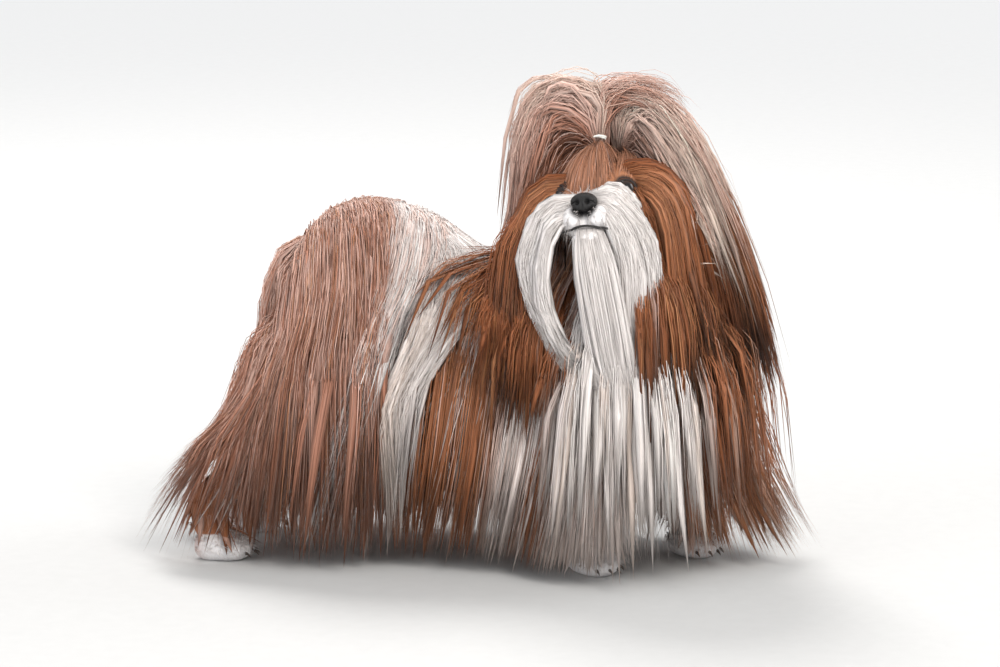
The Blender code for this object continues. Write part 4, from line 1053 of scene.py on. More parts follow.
class Shader:
    """Builds one material round a Principled shader."""

    def __init__(self, name: str) -> None:
        self.material = bpy.data.materials.new(name)
        self.material.use_nodes = True
        self.tree = self.material.node_tree
        self.base = self.tree.nodes["Principled BSDF"]

    def node(self, kind: str, settings: dict | None = None, inputs: dict | None = None,
             output: object = 0) -> Value:
        """Adds a node.

        Args:
            kind: the node's type.
            settings: its properties, set first. A ramp's stops are given under "stops".
            inputs: numbers, colours or values for its sockets, by name or number.
            output: the socket to return.

        Returns:
            The output as a value.
        """
        made = self.tree.nodes.new(kind)
        for key, value in (settings or {}).items():
            if key == "stops":
                for place, colour in value[2:]:
                    made.color_ramp.elements.new(place)
                for element, (place, colour) in zip(made.color_ramp.elements, value):
                    element.position, element.color = place, (*colour, 1)
            else:
                setattr(made, key, value)
        for key, value in (inputs or {}).items():
            self.feed(made.inputs[key], value)
        return Value(self, made.outputs[output])

    def feed(self, socket: bpy.types.NodeSocket, value: object) -> None:
        """Links a value to a socket, or sets a number or colour on it."""
        if isinstance(value, Value):
            self.tree.links.new(value.socket, socket)
        else:
            socket.default_value = value

    def set(self, **inputs: object) -> "Shader":
        """Feeds the Principled shader's sockets, named with _ for a space."""
        for key, value in inputs.items():
            self.feed(self.base.inputs[key.replace("_", " ")], value)
        return self

    def place(self) -> Value:
        """Object coordinates."""
        return self.node("ShaderNodeTexCoord", output="Object")

    def markings(self) -> Value:
        """The colour that the mesh carries."""
        return self.node("ShaderNodeAttribute", {"attribute_name": "Markings"}, output="Color")

    def noise(self, scale: float, detail: float = 3.0) -> Value:
        """Soft noise from 0 to 1 over the object."""
        inputs = {"Vector": self.place(), "Scale": scale, "Detail": detail}
        return self.node("ShaderNodeTexNoise", {}, inputs, "Fac")

    def fibre(self, across: float, along: float) -> Value:
        """Noise drawn out along the strands: so many features to the metre across them and along them."""
        place = self.node("ShaderNodeUVMap", {"uv_map": "Fibre"})
        place = self.node("ShaderNodeVectorMath", {"operation": "MULTIPLY"},
                          {0: place, 1: (across, along, 1.0)})
        return self.node("ShaderNodeTexNoise", {"noise_dimensions": "2D"},
                         {"Vector": place, "Scale": 1.0, "Detail": 2.0}, "Fac")

    def tint(self, colour: Value, factor: Value, low: tuple, high: tuple) -> Value:
        """The colour times a tint that runs from low to high with the factor."""
        tint = self.node("ShaderNodeMix", {"data_type": "RGBA"},
                         {"Factor": factor, 6: (*low, 1), 7: (*high, 1)}, 2)
        return self.node("ShaderNodeMix", {"data_type": "RGBA", "blend_type": "MULTIPLY"},
                         {"Factor": 1.0, 6: colour, 7: tint}, 2)

    def bump(self, height: Value, strength: float, distance: float) -> Value:
        """A normal that follows a height."""
        return self.node("ShaderNodeBump", {}, {"Height": height, "Strength": strength, "Distance": distance},
                         "Normal")


@dataclass(frozen=True)
class HairFinish:
    """Silky hair: the strand's own colour, fine streaks that run along it and a soft shine."""

    name: str
    roughness: float = 0.45
    sheen: float = 0.05

    def build(self) -> bpy.types.Material:
        """The material."""
        s = Shader(self.name)
        fine, broad, drift = s.fibre(2600.0, 14.0), s.fibre(620.0, 5.0), s.noise(26.0)
        colour = s.tint(s.markings(), broad, (0.70, 0.66, 0.64), (1.18, 1.18, 1.18))
        colour = s.tint(colour, fine, (0.80, 0.78, 0.76), (1.12, 1.12, 1.12))
        colour = s.tint(colour, drift, (0.90, 0.88, 0.86), (1.08, 1.08, 1.08))
        s.set(Base_Color=colour, Roughness=self.roughness - 0.07 + fine * 0.16,
              Sheen_Weight=self.sheen, Sheen_Roughness=0.35, Specular_IOR_Level=0.30,
              Normal=s.bump(fine * 0.5 + broad * 0.9, 0.75, 0.0007))
        s.base.inputs["Sheen Tint"].default_value = (1.0, 0.90, 0.84, 1)
        return s.material


@dataclass(frozen=True)
class SkinFinish:
    """Skin under short hair: its markings, with the grain of the hair as bump."""

    name: str = "skin"

    def build(self) -> bpy.types.Material:
        """The material."""
        s = Shader(self.name)
        grain, pores = s.noise(420.0, 4.0), s.noise(1600.0, 2.0)
        colour = s.tint(s.markings(), grain, (0.72, 0.70, 0.70), (1.10, 1.10, 1.10))
        s.set(Base_Color=colour, Roughness=0.50 + pores * 0.2,
              Normal=s.bump(grain * 0.7 + pores * 0.3, 0.5, 0.0008))
        return s.material


@dataclass(frozen=True)
class EyeFinish:
    """Wet, dark eye: painted iris under a clear coat."""

    name: str = "eye"

    def build(self) -> bpy.types.Material:
        """The material."""
        s = Shader(self.name)
        fibre = s.noise(900.0, 3.0)
        s.set(Base_Color=s.tint(s.markings(), fibre, (0.75, 0.72, 0.70), (1.2, 1.15, 1.1)), Roughness=0.12,
              Coat_Weight=0.6, Coat_Roughness=0.03, Specular_IOR_Level=0.4)
        return s.material


@dataclass(frozen=True)
class NoseFinish:
    """Black, moist, pebbled nose leather, with painted shade in the cracks between the pebbles."""

    name: str = "nose"

    def build(self) -> bpy.types.Material:
        """The material."""
        s = Shader(self.name)
        cells = s.node("ShaderNodeTexVoronoi", {"feature": "DISTANCE_TO_EDGE"},
                       {"Vector": s.place(), "Scale": 900.0}, "Distance")
        pebble_and_crease_shade = s.node("ShaderNodeMapRange", {}, {"Value": cells, "From Min": 0.0, "From Max": 0.22},
                        "Result")
        fine = s.noise(1400.0, 2.0)
        # The tint darkens the cracks between the pebbles: painted shade in the creases.
        s.set(Base_Color=s.tint(s.markings(), pebble_and_crease_shade, (0.5, 0.5, 0.5), (1.25, 1.2, 1.2)),
              Roughness=0.34 + fine * 0.18, Specular_IOR_Level=0.40,
              Normal=s.bump(pebble_and_crease_shade * 0.8 + fine * 0.2, 0.6, 0.0004))
        return s.material


@dataclass(frozen=True)
class RubberFinish:
    """Thin elastic band with fine ribs."""

    name: str
    colour: tuple
    ribs: float = 1500.0

    def build(self) -> bpy.types.Material:
        """The material."""
        s = Shader(self.name)
        wear = s.noise(600.0, 2.0)
        ribs = s.node("ShaderNodeTexWave", {"wave_type": "BANDS", "bands_direction": "Z"},
                      {"Vector": s.place(), "Scale": self.ribs / 6.283}, "Fac")
        base = s.node("ShaderNodeRGB")
        base.socket.default_value = (*self.colour, 1)
        s.set(Base_Color=s.tint(base, wear, (0.85, 0.85, 0.85), (1.05, 1.05, 1.05)),
              Roughness=0.42 + wear * 0.15, Normal=s.bump(ribs, 0.4, 0.0002))
        return s.material


@dataclass(frozen=True)
class HornFinish:
    """Dark, lightly streaked claw."""

    name: str = "claw"

    def build(self) -> bpy.types.Material:
        """The material."""
        s = Shader(self.name)
        streak = s.noise(500.0, 3.0)
        colour = s.node("ShaderNodeMix", {"data_type": "RGBA"},
                        {"Factor": streak, 6: (0.030, 0.022, 0.018, 1), 7: (0.10, 0.075, 0.06, 1)}, 2)
        s.set(Base_Color=colour, Roughness=0.3 + streak * 0.15, Normal=s.bump(streak, 0.3, 0.0002))
        return s.material


@dataclass(frozen=True)
class FloorFinish:
    """Pale matt floor."""

    name: str = "floor"

    def build(self) -> bpy.types.Material:
        """The material."""
        s = Shader(self.name)
        grain = s.noise(60.0, 4.0)
        colour = s.node("ShaderNodeMix", {"data_type": "RGBA"},
                        {"Factor": grain, 6: (0.50, 0.50, 0.495, 1), 7: (0.54, 0.54, 0.535, 1)}, 2)
        away = s.node("ShaderNodeVectorMath", {"operation": "LENGTH"}, {0: s.place()}, 1)
        far = s.node("ShaderNodeMapRange", {"interpolation_type": "SMOOTHSTEP"},
                     {"Value": away, "From Min": 0.9, "From Max": 5.0}, "Result")
        glow = s.node("ShaderNodeMix", {"data_type": "RGBA"},
                      {"Factor": far, 6: (0, 0, 0, 1), 7: (0.50, 0.50, 0.50, 1)}, 2)
        s.set(Base_Color=colour, Roughness=0.85, Emission_Color=glow, Emission_Strength=1.0)
        return s.material


# Sub-assemblies


@dataclass
class Skin:
    """One skin over the whole body, with toes, lips, chin and lids."""

    voxel: float = 0.0021
    inset: float = 0.0012
    rings: int = 40
    mouth_dark: tuple = (0.0016, 0.0055)
    nose_dark: tuple = (0.011, 0.017)
    eye_dark: tuple = (0.0128, 0.0160)

    def build(self) -> bpy.types.Mesh:
        """The skin: the closed forms joined by a voxel remesh and smoothed, with lids and lips added."""
        points, faces, count = [], [], 0
        small = [toe for ankle in BODY.ankles.values() for toe in BODY.toes(*ankle)] + BODY.lips()
        for form in [*FORMS.values(), *small]:
            thin = form in (FORMS["ear_left"], FORMS["ear_right"]) or form in small
            place, quads, ends = form.grid(self.rings, self.rings, 0.0 if thin else -self.inset)
            points.append(place)
            faces += (quads + count).tolist() + (ends + count).tolist()
            count += len(place)
        mesh = bpy.data.meshes.new("skin_parts")
        mesh.from_pydata(np.concatenate(points).tolist(), [], faces)
        obj = bpy.data.objects.new("skin_parts", mesh)
        bpy.context.scene.collection.objects.link(obj)
        remesh = obj.modifiers.new("Join", "REMESH")
        remesh.mode, remesh.voxel_size, remesh.adaptivity = "VOXEL", self.voxel, 0.0
        smooth = obj.modifiers.new("Smooth", "SMOOTH")
        smooth.factor, smooth.iterations = 0.5, 3
        whole = applied(obj)
        whole.calc_loop_triangles()
        corners = np.empty(len(whole.loop_triangles) * 3, np.int32)
        whole.loop_triangles.foreach_get("vertices", corners)
        place = np.empty(len(whole.vertices) * 3, np.float32)
        whole.vertices.foreach_get("co", place)
        place = place.reshape(-1, 3).astype(float)
        place[:, 2] = np.maximum(place[:, 2], 0.0)
        corners = corners.reshape(-1, 3)
        parts = [(place, corners, self.colours(place)), Lid(1).surface(), Lid(-1).surface(), Lips().surface()]
        mesh = mesh_from("skin", *joined([part[:2] for part in parts]))
        paint(mesh, np.concatenate([part[2] for part in parts]))
        return mesh

    def colours(self, place: Array) -> Array:
        """Colour of each point: the marking of the form that it lies on, black near mouth, nose and eyes."""
        nearest = np.full(len(place), 9.0)
        colour = np.zeros((len(place), 3))
        batch = 20000
        for name, form in FORMS.items():
            for start in range(0, len(place), batch):
                part = slice(start, start + batch)
                away, _, t, degrees = form.measure(place[part])
                near = away < nearest[part]
                found = MARKINGS.root(name, t, degrees)
                colour[part] = np.where(near[:, None], found, colour[part])
                nearest[part] = np.where(near, away, nearest[part])
        for path, dark in ((BODY.mouth(), self.mouth_dark), (BODY.at(0.071, 0, -0.016)[None], self.nose_dark),
                           (BODY.eye(1)[None], self.eye_dark), (BODY.eye(-1)[None], self.eye_dark)):
            away = np.full(len(place), 9.0)
            for spot in path:
                away = np.minimum(away, np.linalg.norm(place - spot, axis=1))
            colour = mix(np.broadcast_to(Tone.BLACK.rgb, colour.shape), colour, rise(*dark, away))
        return colour

    def dress(self) -> bpy.types.Object:
        """Builds the skin and dresses it."""
        return place_piece("skin", self.build(), SkinFinish().build(), "coat_head", "head", "neck", "torso",
                           *BODY.legs, "tail", "ear_left", "ear_right")


@dataclass
class Lid:
    """Upper and lower lid of one eye: a ring round an almond opening that sinks into the head."""

    side: int
    half_wide: float = 50.0
    upper: float = 38.0
    lower: float = 31.0
    thickness: float = 0.0009

    def surface(self) -> tuple:
        """(points, faces, colours) of the lids.

        The opening's half angle is that of an oval, narrowed to the corners. From it the profile turns over
        the rim and runs back over the eyeball until it is inside the head, and closes there.
        """
        gaze = BODY.gaze(self.side)
        up = unit(BODY.up - gaze * dot(BODY.up, gaze))
        across = np.cross(up, gaze)
        a = np.linspace(0, 2 * np.pi, 64, endpoint=False)
        tall = np.where(np.sin(a) > 0, self.upper, self.lower)
        opening = 1 / np.sqrt((np.cos(a) / self.half_wide) ** 2 + (np.sin(a) / tall) ** 2)
        r, t = BODY.eye_radius, self.thickness
        profile = ((-3.0, r - 0.0008), (-1.0, r + 0.0001), (-0.5, r + t * 0.6), (2.0, r + t),
                   (8.0, r + t * 1.15), (18.0, r + t * 1.1), (32.0, r + t * 0.6), (50.0, r - 0.001),
                   (40.0, r - 0.004))
        rows = []
        for more, radius in profile:
            b = np.radians(opening + more)[:, None]
            around = across * np.cos(a)[:, None] + up * np.sin(a)[:, None]
            rows.append(BODY.eye(self.side) + (gaze * np.cos(b) + around * np.sin(b)) * radius)
        points = np.concatenate(rows)
        faces = outward(points, sheet_faces(len(profile), len(a), wrap_rows=True))
        dark = np.repeat(1 - rise(2.0, 14.0, np.array([more for more, _ in profile])), len(a))
        colours = mix(np.broadcast_to(Tone.UMBER.rgb, (len(points), 3)), Tone.BLACK.rgb * 0.5, dark)
        return points, faces, colours


@dataclass
class Lips:
    """Dark bare edges of both lips along the mouth."""

    radius: float = 0.0007
    apart: float = 0.0004

    def surface(self) -> tuple:
        """(points, faces, colours) of both edges: a round tube each, along the mouth.

        The mouth's path is moved along the head's axis to the last place that lies inside the muzzle.
        """
        path = BODY.mouth()
        steps = np.linspace(-0.030, 0.012, 85)
        tries = (path[:, None] + BODY.ahead * steps[None, :, None]).reshape(-1, 3)
        away = np.min([form.measure(tries)[0] for form in (FORMS["head"], *BODY.lips())], axis=0)
        inside = (away.reshape(len(path), -1) < 0) * steps[None]
        last = np.where((away.reshape(len(path), -1) < 0).any(1), np.where(inside == 0, -1, inside).max(1), 0)
        path = path + BODY.ahead * (np.convolve(np.pad(last, 3, "edge"), np.full(7, 1 / 7), "valid"))[:, None]
        along = unit(np.gradient(path, axis=0))
        a = np.linspace(0, 2 * np.pi, 12, endpoint=False)[None, :, None]
        thin = np.sin(np.linspace(0.12, np.pi - 0.12, len(path)))[:, None, None] ** 0.5
        up = unit(BODY.up - along * dot(along, BODY.up))
        front = np.cross(up, along)
        tubes = []
        for offset, radius in ((self.apart, self.radius * 1.1), (-self.apart, self.radius)):
            centre = path + BODY.up * offset
            rings = (centre[:, None] + (up[:, None] * np.sin(a) + front[:, None] * np.cos(a)) * radius * thin)
            tubes.append(tube(rings, centre[0], centre[-1]))
        points, faces = joined(tubes)
        return points, faces, np.tile(Tone.BLACK.rgb * 1.2, (len(points), 1))


@dataclass
class Eyes:
    """Two dark eyes with a swollen clear front."""

    iris: float = 40.0
    pupil: float = 17.0
    swell: float = 0.0009
    swell_reach: float = 48.0

    def build(self, side: int) -> bpy.types.Mesh:
        """One eye: a ball, raised by a cosine bulge over the iris, painted in rings round the gaze."""
        gaze = BODY.gaze(side)
        up = unit(BODY.up - gaze * dot(BODY.up, gaze))
        across = np.cross(up, gaze)
        b = np.radians(np.linspace(0.5, 179.5, 44))[:, None, None]
        a = np.linspace(0, 2 * np.pi, 56, endpoint=False)[None, :, None]
        bulge = self.swell * np.clip(np.cos(b * 90 / self.swell_reach), 0, 1)
        bulge = bulge * (b < np.radians(self.swell_reach))
        spot = gaze * np.cos(b) + (across * np.cos(a) + up * np.sin(a)) * np.sin(b)
        points, faces = tube(BODY.eye(side) + spot * (BODY.eye_radius + bulge),
                             BODY.eye(side) + gaze * (BODY.eye_radius + self.swell),
                             BODY.eye(side) - gaze * BODY.eye_radius)
        degrees = np.degrees(np.arccos(np.clip(unit(points - BODY.eye(side)) @ gaze, -1, 1)))
        brown = np.array((0.020, 0.008, 0.004))
        colour = mix(np.broadcast_to(Tone.BLACK.rgb * 0.3, (len(points), 3)), brown,
                     rise(self.pupil - 2, self.pupil + 2, degrees))
        colour = mix(colour, Tone.BLACK.rgb, rise(self.iris - 8, self.iris, degrees))
        colour = mix(colour, np.array((0.30, 0.25, 0.24)), rise(self.iris + 8, self.iris + 14, degrees) * 0.6)
        mesh = mesh_from("eye", points, faces)
        paint(mesh, colour)
        return mesh

    def dress(self) -> None:
        """Builds both eyes and dresses them."""
        finish = EyeFinish().build()
        for side, name in ((1, "left"), (-1, "right")):
            place_piece(f"eyeball_{name}", self.build(side), finish, "eye", f"eye_{name}")


@dataclass
class Nose:
    """Black nose with comma shaped nostrils and a groove down the middle."""

    rings: int = 70
    sides: int = 96

    def form(self) -> Form:
        """Outer shape of the nose."""
        return Form([
            (BODY.at(0.056, 0, -0.011), 0.009, 0.005, 0.008),
            (BODY.at(0.066, 0, -0.012), BODY.nose_half_width, 0.0085, 0.0095),
            (BODY.at(BODY.nose_reach + 0.004, 0, -0.013), 0.010, 0.006, 0.008),
        ], BODY.up, cap=0.22)

    def build(self) -> bpy.types.Mesh:
        """The nose: its form, pressed in along the muzzle by soft pits for the nostrils and by the groove."""
        points, quads, ends = self.form().grid(self.rings, self.sides)
        faces = np.concatenate((quads[:, :3], quads[:, (0, 2, 3)], ends))
        ahead, left, up = ((points - BODY.skull) @ axis for axis in (BODY.ahead, BODY.left, BODY.up))
        front = rise(0.066, 0.071, ahead)
        pit = np.zeros(len(points))
        for side in (1, -1):
            x, y = side * left, up + 0.0138
            round_pit = np.exp(-(((x - 0.0050) / 0.0019) ** 2 + (y / 0.0021) ** 2))
            slit = np.exp(-(((y + 0.0002 + (x - 0.0085) * 0.35) / 0.0009) ** 2)) * rise(0.0050, 0.0070, x) * (
                1 - rise(0.0105, 0.0125, x))
            pit = np.maximum(pit, np.maximum(round_pit, slit * 0.55))
        groove = np.exp(-(left / 0.0007) ** 2) * rise(-0.008, -0.014, up) * 0.22
        points = points - BODY.ahead * ((pit * 0.0042 + groove * 0.003) * front)[:, None]
        mesh = mesh_from("nose", points, outward(points, faces))
        # The nostril pits and the groove are painted darker: painted shade in the hollows.
        deep = (np.maximum(pit, groove) * front)[:, None]
        paint(mesh, mix(np.array((0.010, 0.009, 0.009)), np.array((0.002, 0.002, 0.002)), deep))
        return mesh

    def dress(self) -> bpy.types.Object:
        """Builds the nose and dresses it."""
        return place_piece("nose_leather", self.build(), NoseFinish().build(), "nose", "nose")


@dataclass
class Bands:
    """Two small elastic bands, each wound twice round its stem of hair."""

    radius: float = 0.0062
    wire: float = 0.0011
    turns: int = 2

    def build(self, forward: float, left: float) -> bpy.types.Mesh:
        """One band: a round wire on a circle that steps up by its width from turn to turn and comes back."""
        middle = BODY.at(forward, left, BODY.band_height)
        along = np.linspace(0, 2 * np.pi * self.turns, 96 * self.turns, endpoint=False)[:, None]
        around = np.linspace(0, 2 * np.pi, 14, endpoint=False)[None, :]
        shift = self.wire * 0.95 * np.sin(along / self.turns)
        swell = 1 + 0.05 * np.sin(along * 5)
        radius = self.radius * swell + self.wire * (np.cos(around) + 0.35 * np.cos(along / self.turns))
        height = shift + self.wire * np.sin(around) + 0 * along
        points = (middle + BODY.ahead * (radius * np.cos(along))[..., None]
                  + BODY.left * (radius * np.sin(along))[..., None] + BODY.up * height[..., None])
        points = points.reshape(-1, 3)
        faces = outward(points, sheet_faces(len(along), 14, wrap_rows=True))
        return mesh_from("band", points, faces)

    def dress(self) -> None:
        """Builds both bands and dresses them."""
        rows = (("front", "band_white", (0.86, 0.86, 0.80)), ("rear", "band_pale", (0.70, 0.80, 0.36)))
        for (forward, left), (name, slot, colour) in zip(BODY.bands, rows):
            place_piece(f"elastic_{name}", self.build(forward, left), RubberFinish(slot, colour).build(), slot,
                        f"topknot_band_{name}")


@dataclass
class Claws:
    """Four small claws on each paw."""

    length: float = 0.0050
    radius: float = 0.0016

    def build(self) -> bpy.types.Mesh:
        """All claws: each a cone of shrinking rings along a short arc that turns down."""
        claws = []
        s = np.linspace(0, 1, 9)[:, None, None]
        a = np.linspace(0, 2 * np.pi, 12, endpoint=False)[None, :, None]
        for ankle, forward in BODY.ankles.values():
            aside = left_of(forward)
            for step, reach in ((-1.5, 0.028), (-0.5, 0.035), (0.5, 0.035), (1.5, 0.028)):
                root = ankle + aside * step * 0.0100 + forward * (reach + 0.0035) + UP * 0.0085
                centre = root + forward * self.length * s + DOWN * (self.length * 0.75 * s * s)
                size = self.radius * np.sqrt(np.clip(1 - s ** 1.8, 0.01, 1))
                ring = (aside * np.cos(a) * 0.75 + UP * np.sin(a)) * size
                claws.append(tube(centre + ring, root, centre[-1, 0]))
        return mesh_from("claws", *joined(claws))

    def dress(self) -> bpy.types.Object:
        """Builds the claws and dresses them."""
        return place_piece("claws", self.build(), HornFinish().build(), "nose")


def streaked(rng: np.random.Generator, base: Array, tone: Tone, share: float, amount: float = 0.8) -> Array:
    """The base colours, with a share of the rows mixed towards a tone by up to the amount."""
    weight = (rng.random(len(base)) < share) * rng.uniform(0.4, 1.0, len(base)) * amount
    return mix(base, np.broadcast_to(tone.rgb, base.shape), weight)


@dataclass
class BodyCoat:
    """The coat of back, flanks and breast, which falls from the parting to the floor."""

    roots: int = 860
    strands: int = 3250
    base: Cut = lock(0.010, shorten=0.90)
    cut: Cut = Cut(width=0.0009, shorten=0.92)

    def side(self, sign: int) -> Coat:
        """One flank. sign is 1 on the dog's left and -1 on its right."""
        coat = Coat(f"coat_flank_{'left' if sign > 0 else 'right'}", 110 + sign)
        form = FORMS["torso"]
        t, u = coat.scatter(self.roots, (0.045, 0.93), (2.0, 116.0), 1.7)
        keep = (t < 0.74) | (u > 40)
        t, u = t[keep], u[keep]
        n = len(t)
        degrees = 90 - u * sign
        place, out = form.surface(t, degrees)
        aside = form.surface(t, 90 - 80 * sign)[1]
        fore, v = np.clip(1 - t / 0.34, 0, None), np.clip(u / 84, 0, 1)
        leave = mix(unit(aside + UP * 0.10), unit(out + DOWN * 0.5), v)
        over = [(form, lerp(0.022 + 0.010 * fore, 0.011, v)),
                *[(FORMS[name], lerp(0.018 + 0.020 * fore, 0.010, v)) for name in BODY.legs]]
        root = MARKINGS.root("torso", t, degrees)
        pale = root.mean(1) > 0.40
        root = streaked(coat.rng, root, Tone.RUST, 0.25, 0.4)
        low = np.where(t < 0.5, 0.30, 0.15)
        tips = np.where(pale[:, None], mix(root, Tone.GOLD.rgb, low), mix(root, Tone.RUST.rgb, 0.5))
        back = 1.0 * (u < 30) * rise(0.46, 0.54, t)
        leave = leave + np.array((0, 0.7, 0)) * back[:, None]
        sway = np.array((0, 1, 0)) * (0.10 + 0.16 * back)[:, None]
        wisps = coat.wisps("torso", t, degrees, place, out, leave, over, np.full(n, 0.6), root, tips,
                           layers=(-0.002, 0.002), spread=lerp(0.45 + 1.2 * fore, 0.35, v), sway=sway)
        # The locks are dimmed as painted shade under the strands, and the pink accents are partly painted
        # highlight.
        coat.add(wisps, n // 2, self.base, dim=0.8)
        coat.add(wisps, self.strands, self.cut,
                 accents=((Tone.PINK_AND_SHEEN, 0.10, 0.7), (Tone.UMBER, 0.10, 0.6), (Tone.GOLD, 0.08, 0.5)))
        return coat

    def breast(self) -> Coat:
        """The coat in front of the chest, under the bib."""
        coat = Coat("coat_breast", 120)
        form = FORMS["torso"]
        t, degrees = coat.scatter(300, (0.02, 0.12), (-50, 230))
        place, out = form.surface(t, degrees)
        keep = out[:, 2] < 0.7
        t, degrees, place, out = t[keep], degrees[keep], place[keep], out[keep]
        aside = np.clip(out @ BODY.front_left, 0, None)
        over = [(form, 0.016 + 0.02 * aside), *[(FORMS[name], 0.015 + 0.02 * aside) for name in BODY.legs]]
        root = streaked(coat.rng, MARKINGS.root("torso", t, degrees), Tone.CREAM, 0.2)
        wisps = coat.wisps("torso", t, degrees, place, out, out + DOWN * 0.5, over, np.full(len(t), 0.6), root,
                           mix(root, Tone.BROWN.rgb, 0.22), spread=0.5 + 0.8 * aside)
        # The locks are dimmed as painted shade under the strands, and the pink accents are partly painted
        # highlight.
        coat.add(wisps, len(t) // 2, self.base, dim=0.85)
        coat.add(wisps, 1500, self.cut, accents=((Tone.GOLD, 0.10, 0.5), (Tone.PINK_AND_SHEEN, 0.10, 0.6)))
        return coat

    def dress(self, hair: bpy.types.Material) -> None:
        """Builds and dresses the three pieces."""
        for coat in (self.side(1), self.side(-1), self.breast()):
            coat.finish(hair, "coat_body", "torso")


@dataclass
class Mane:
    """The coat of the neck: the bib in front, the mane behind."""

    roots: int = 760
    strands: int = 3450
    base: Cut = lock(0.009)
    cut: Cut = Cut()

    def build(self) -> Coat:
        """The mane and bib."""
        coat = Coat("coat_mane", 130)
        form = FORMS["neck"]
        t, degrees = coat.scatter(self.roots, (0.14, 0.86), (0, 360))
        place, out = form.surface(t, degrees)
        ahead, aside = out @ BODY.front, np.clip(out @ BODY.front_left, 0, None)
        reach = np.where(ahead > -0.3, 0.20 + 0.10 * np.clip(ahead, 0, None), 0.075) + 0.06 * (t - 0.3)
        over = [(form, 0.012), (FORMS["torso"], 0.045 + 0.012 * aside),
                *[(FORMS[name], 0.040 + 0.020 * aside) for name in BODY.legs]]
        root = MARKINGS.root("neck", t, degrees)
        pale = root.mean(1) > 0.4
        root = streaked(coat.rng, root, Tone.CREAM, 0.12)
        tips = np.where(pale[:, None], mix(root, Tone.CREAM.rgb, 0.3), mix(root, Tone.RUST.rgb, 0.5))
        tip = np.where(pale, 0.014, np.where(ahead > 0.5, 0.03, 0.135))
        wisps = coat.wisps("neck", t, degrees, place, out, out + DOWN * 0.5, over, reach, root, tips,
                           layers=(-0.008, 0.004), tip=tip, spread=0.7)
        coat.add(wisps, len(t) // 2, self.base, dim=0.85)
        coat.add(wisps, self.strands, self.cut, accents=((Tone.CREAM, 0.10, 0.5), (Tone.GOLD, 0.05, 0.5)))
        return coat

    def dress(self, hair: bpy.types.Material) -> None:
        """Builds and dresses the mane."""
        self.build().finish(hair, "coat_bib", "neck")


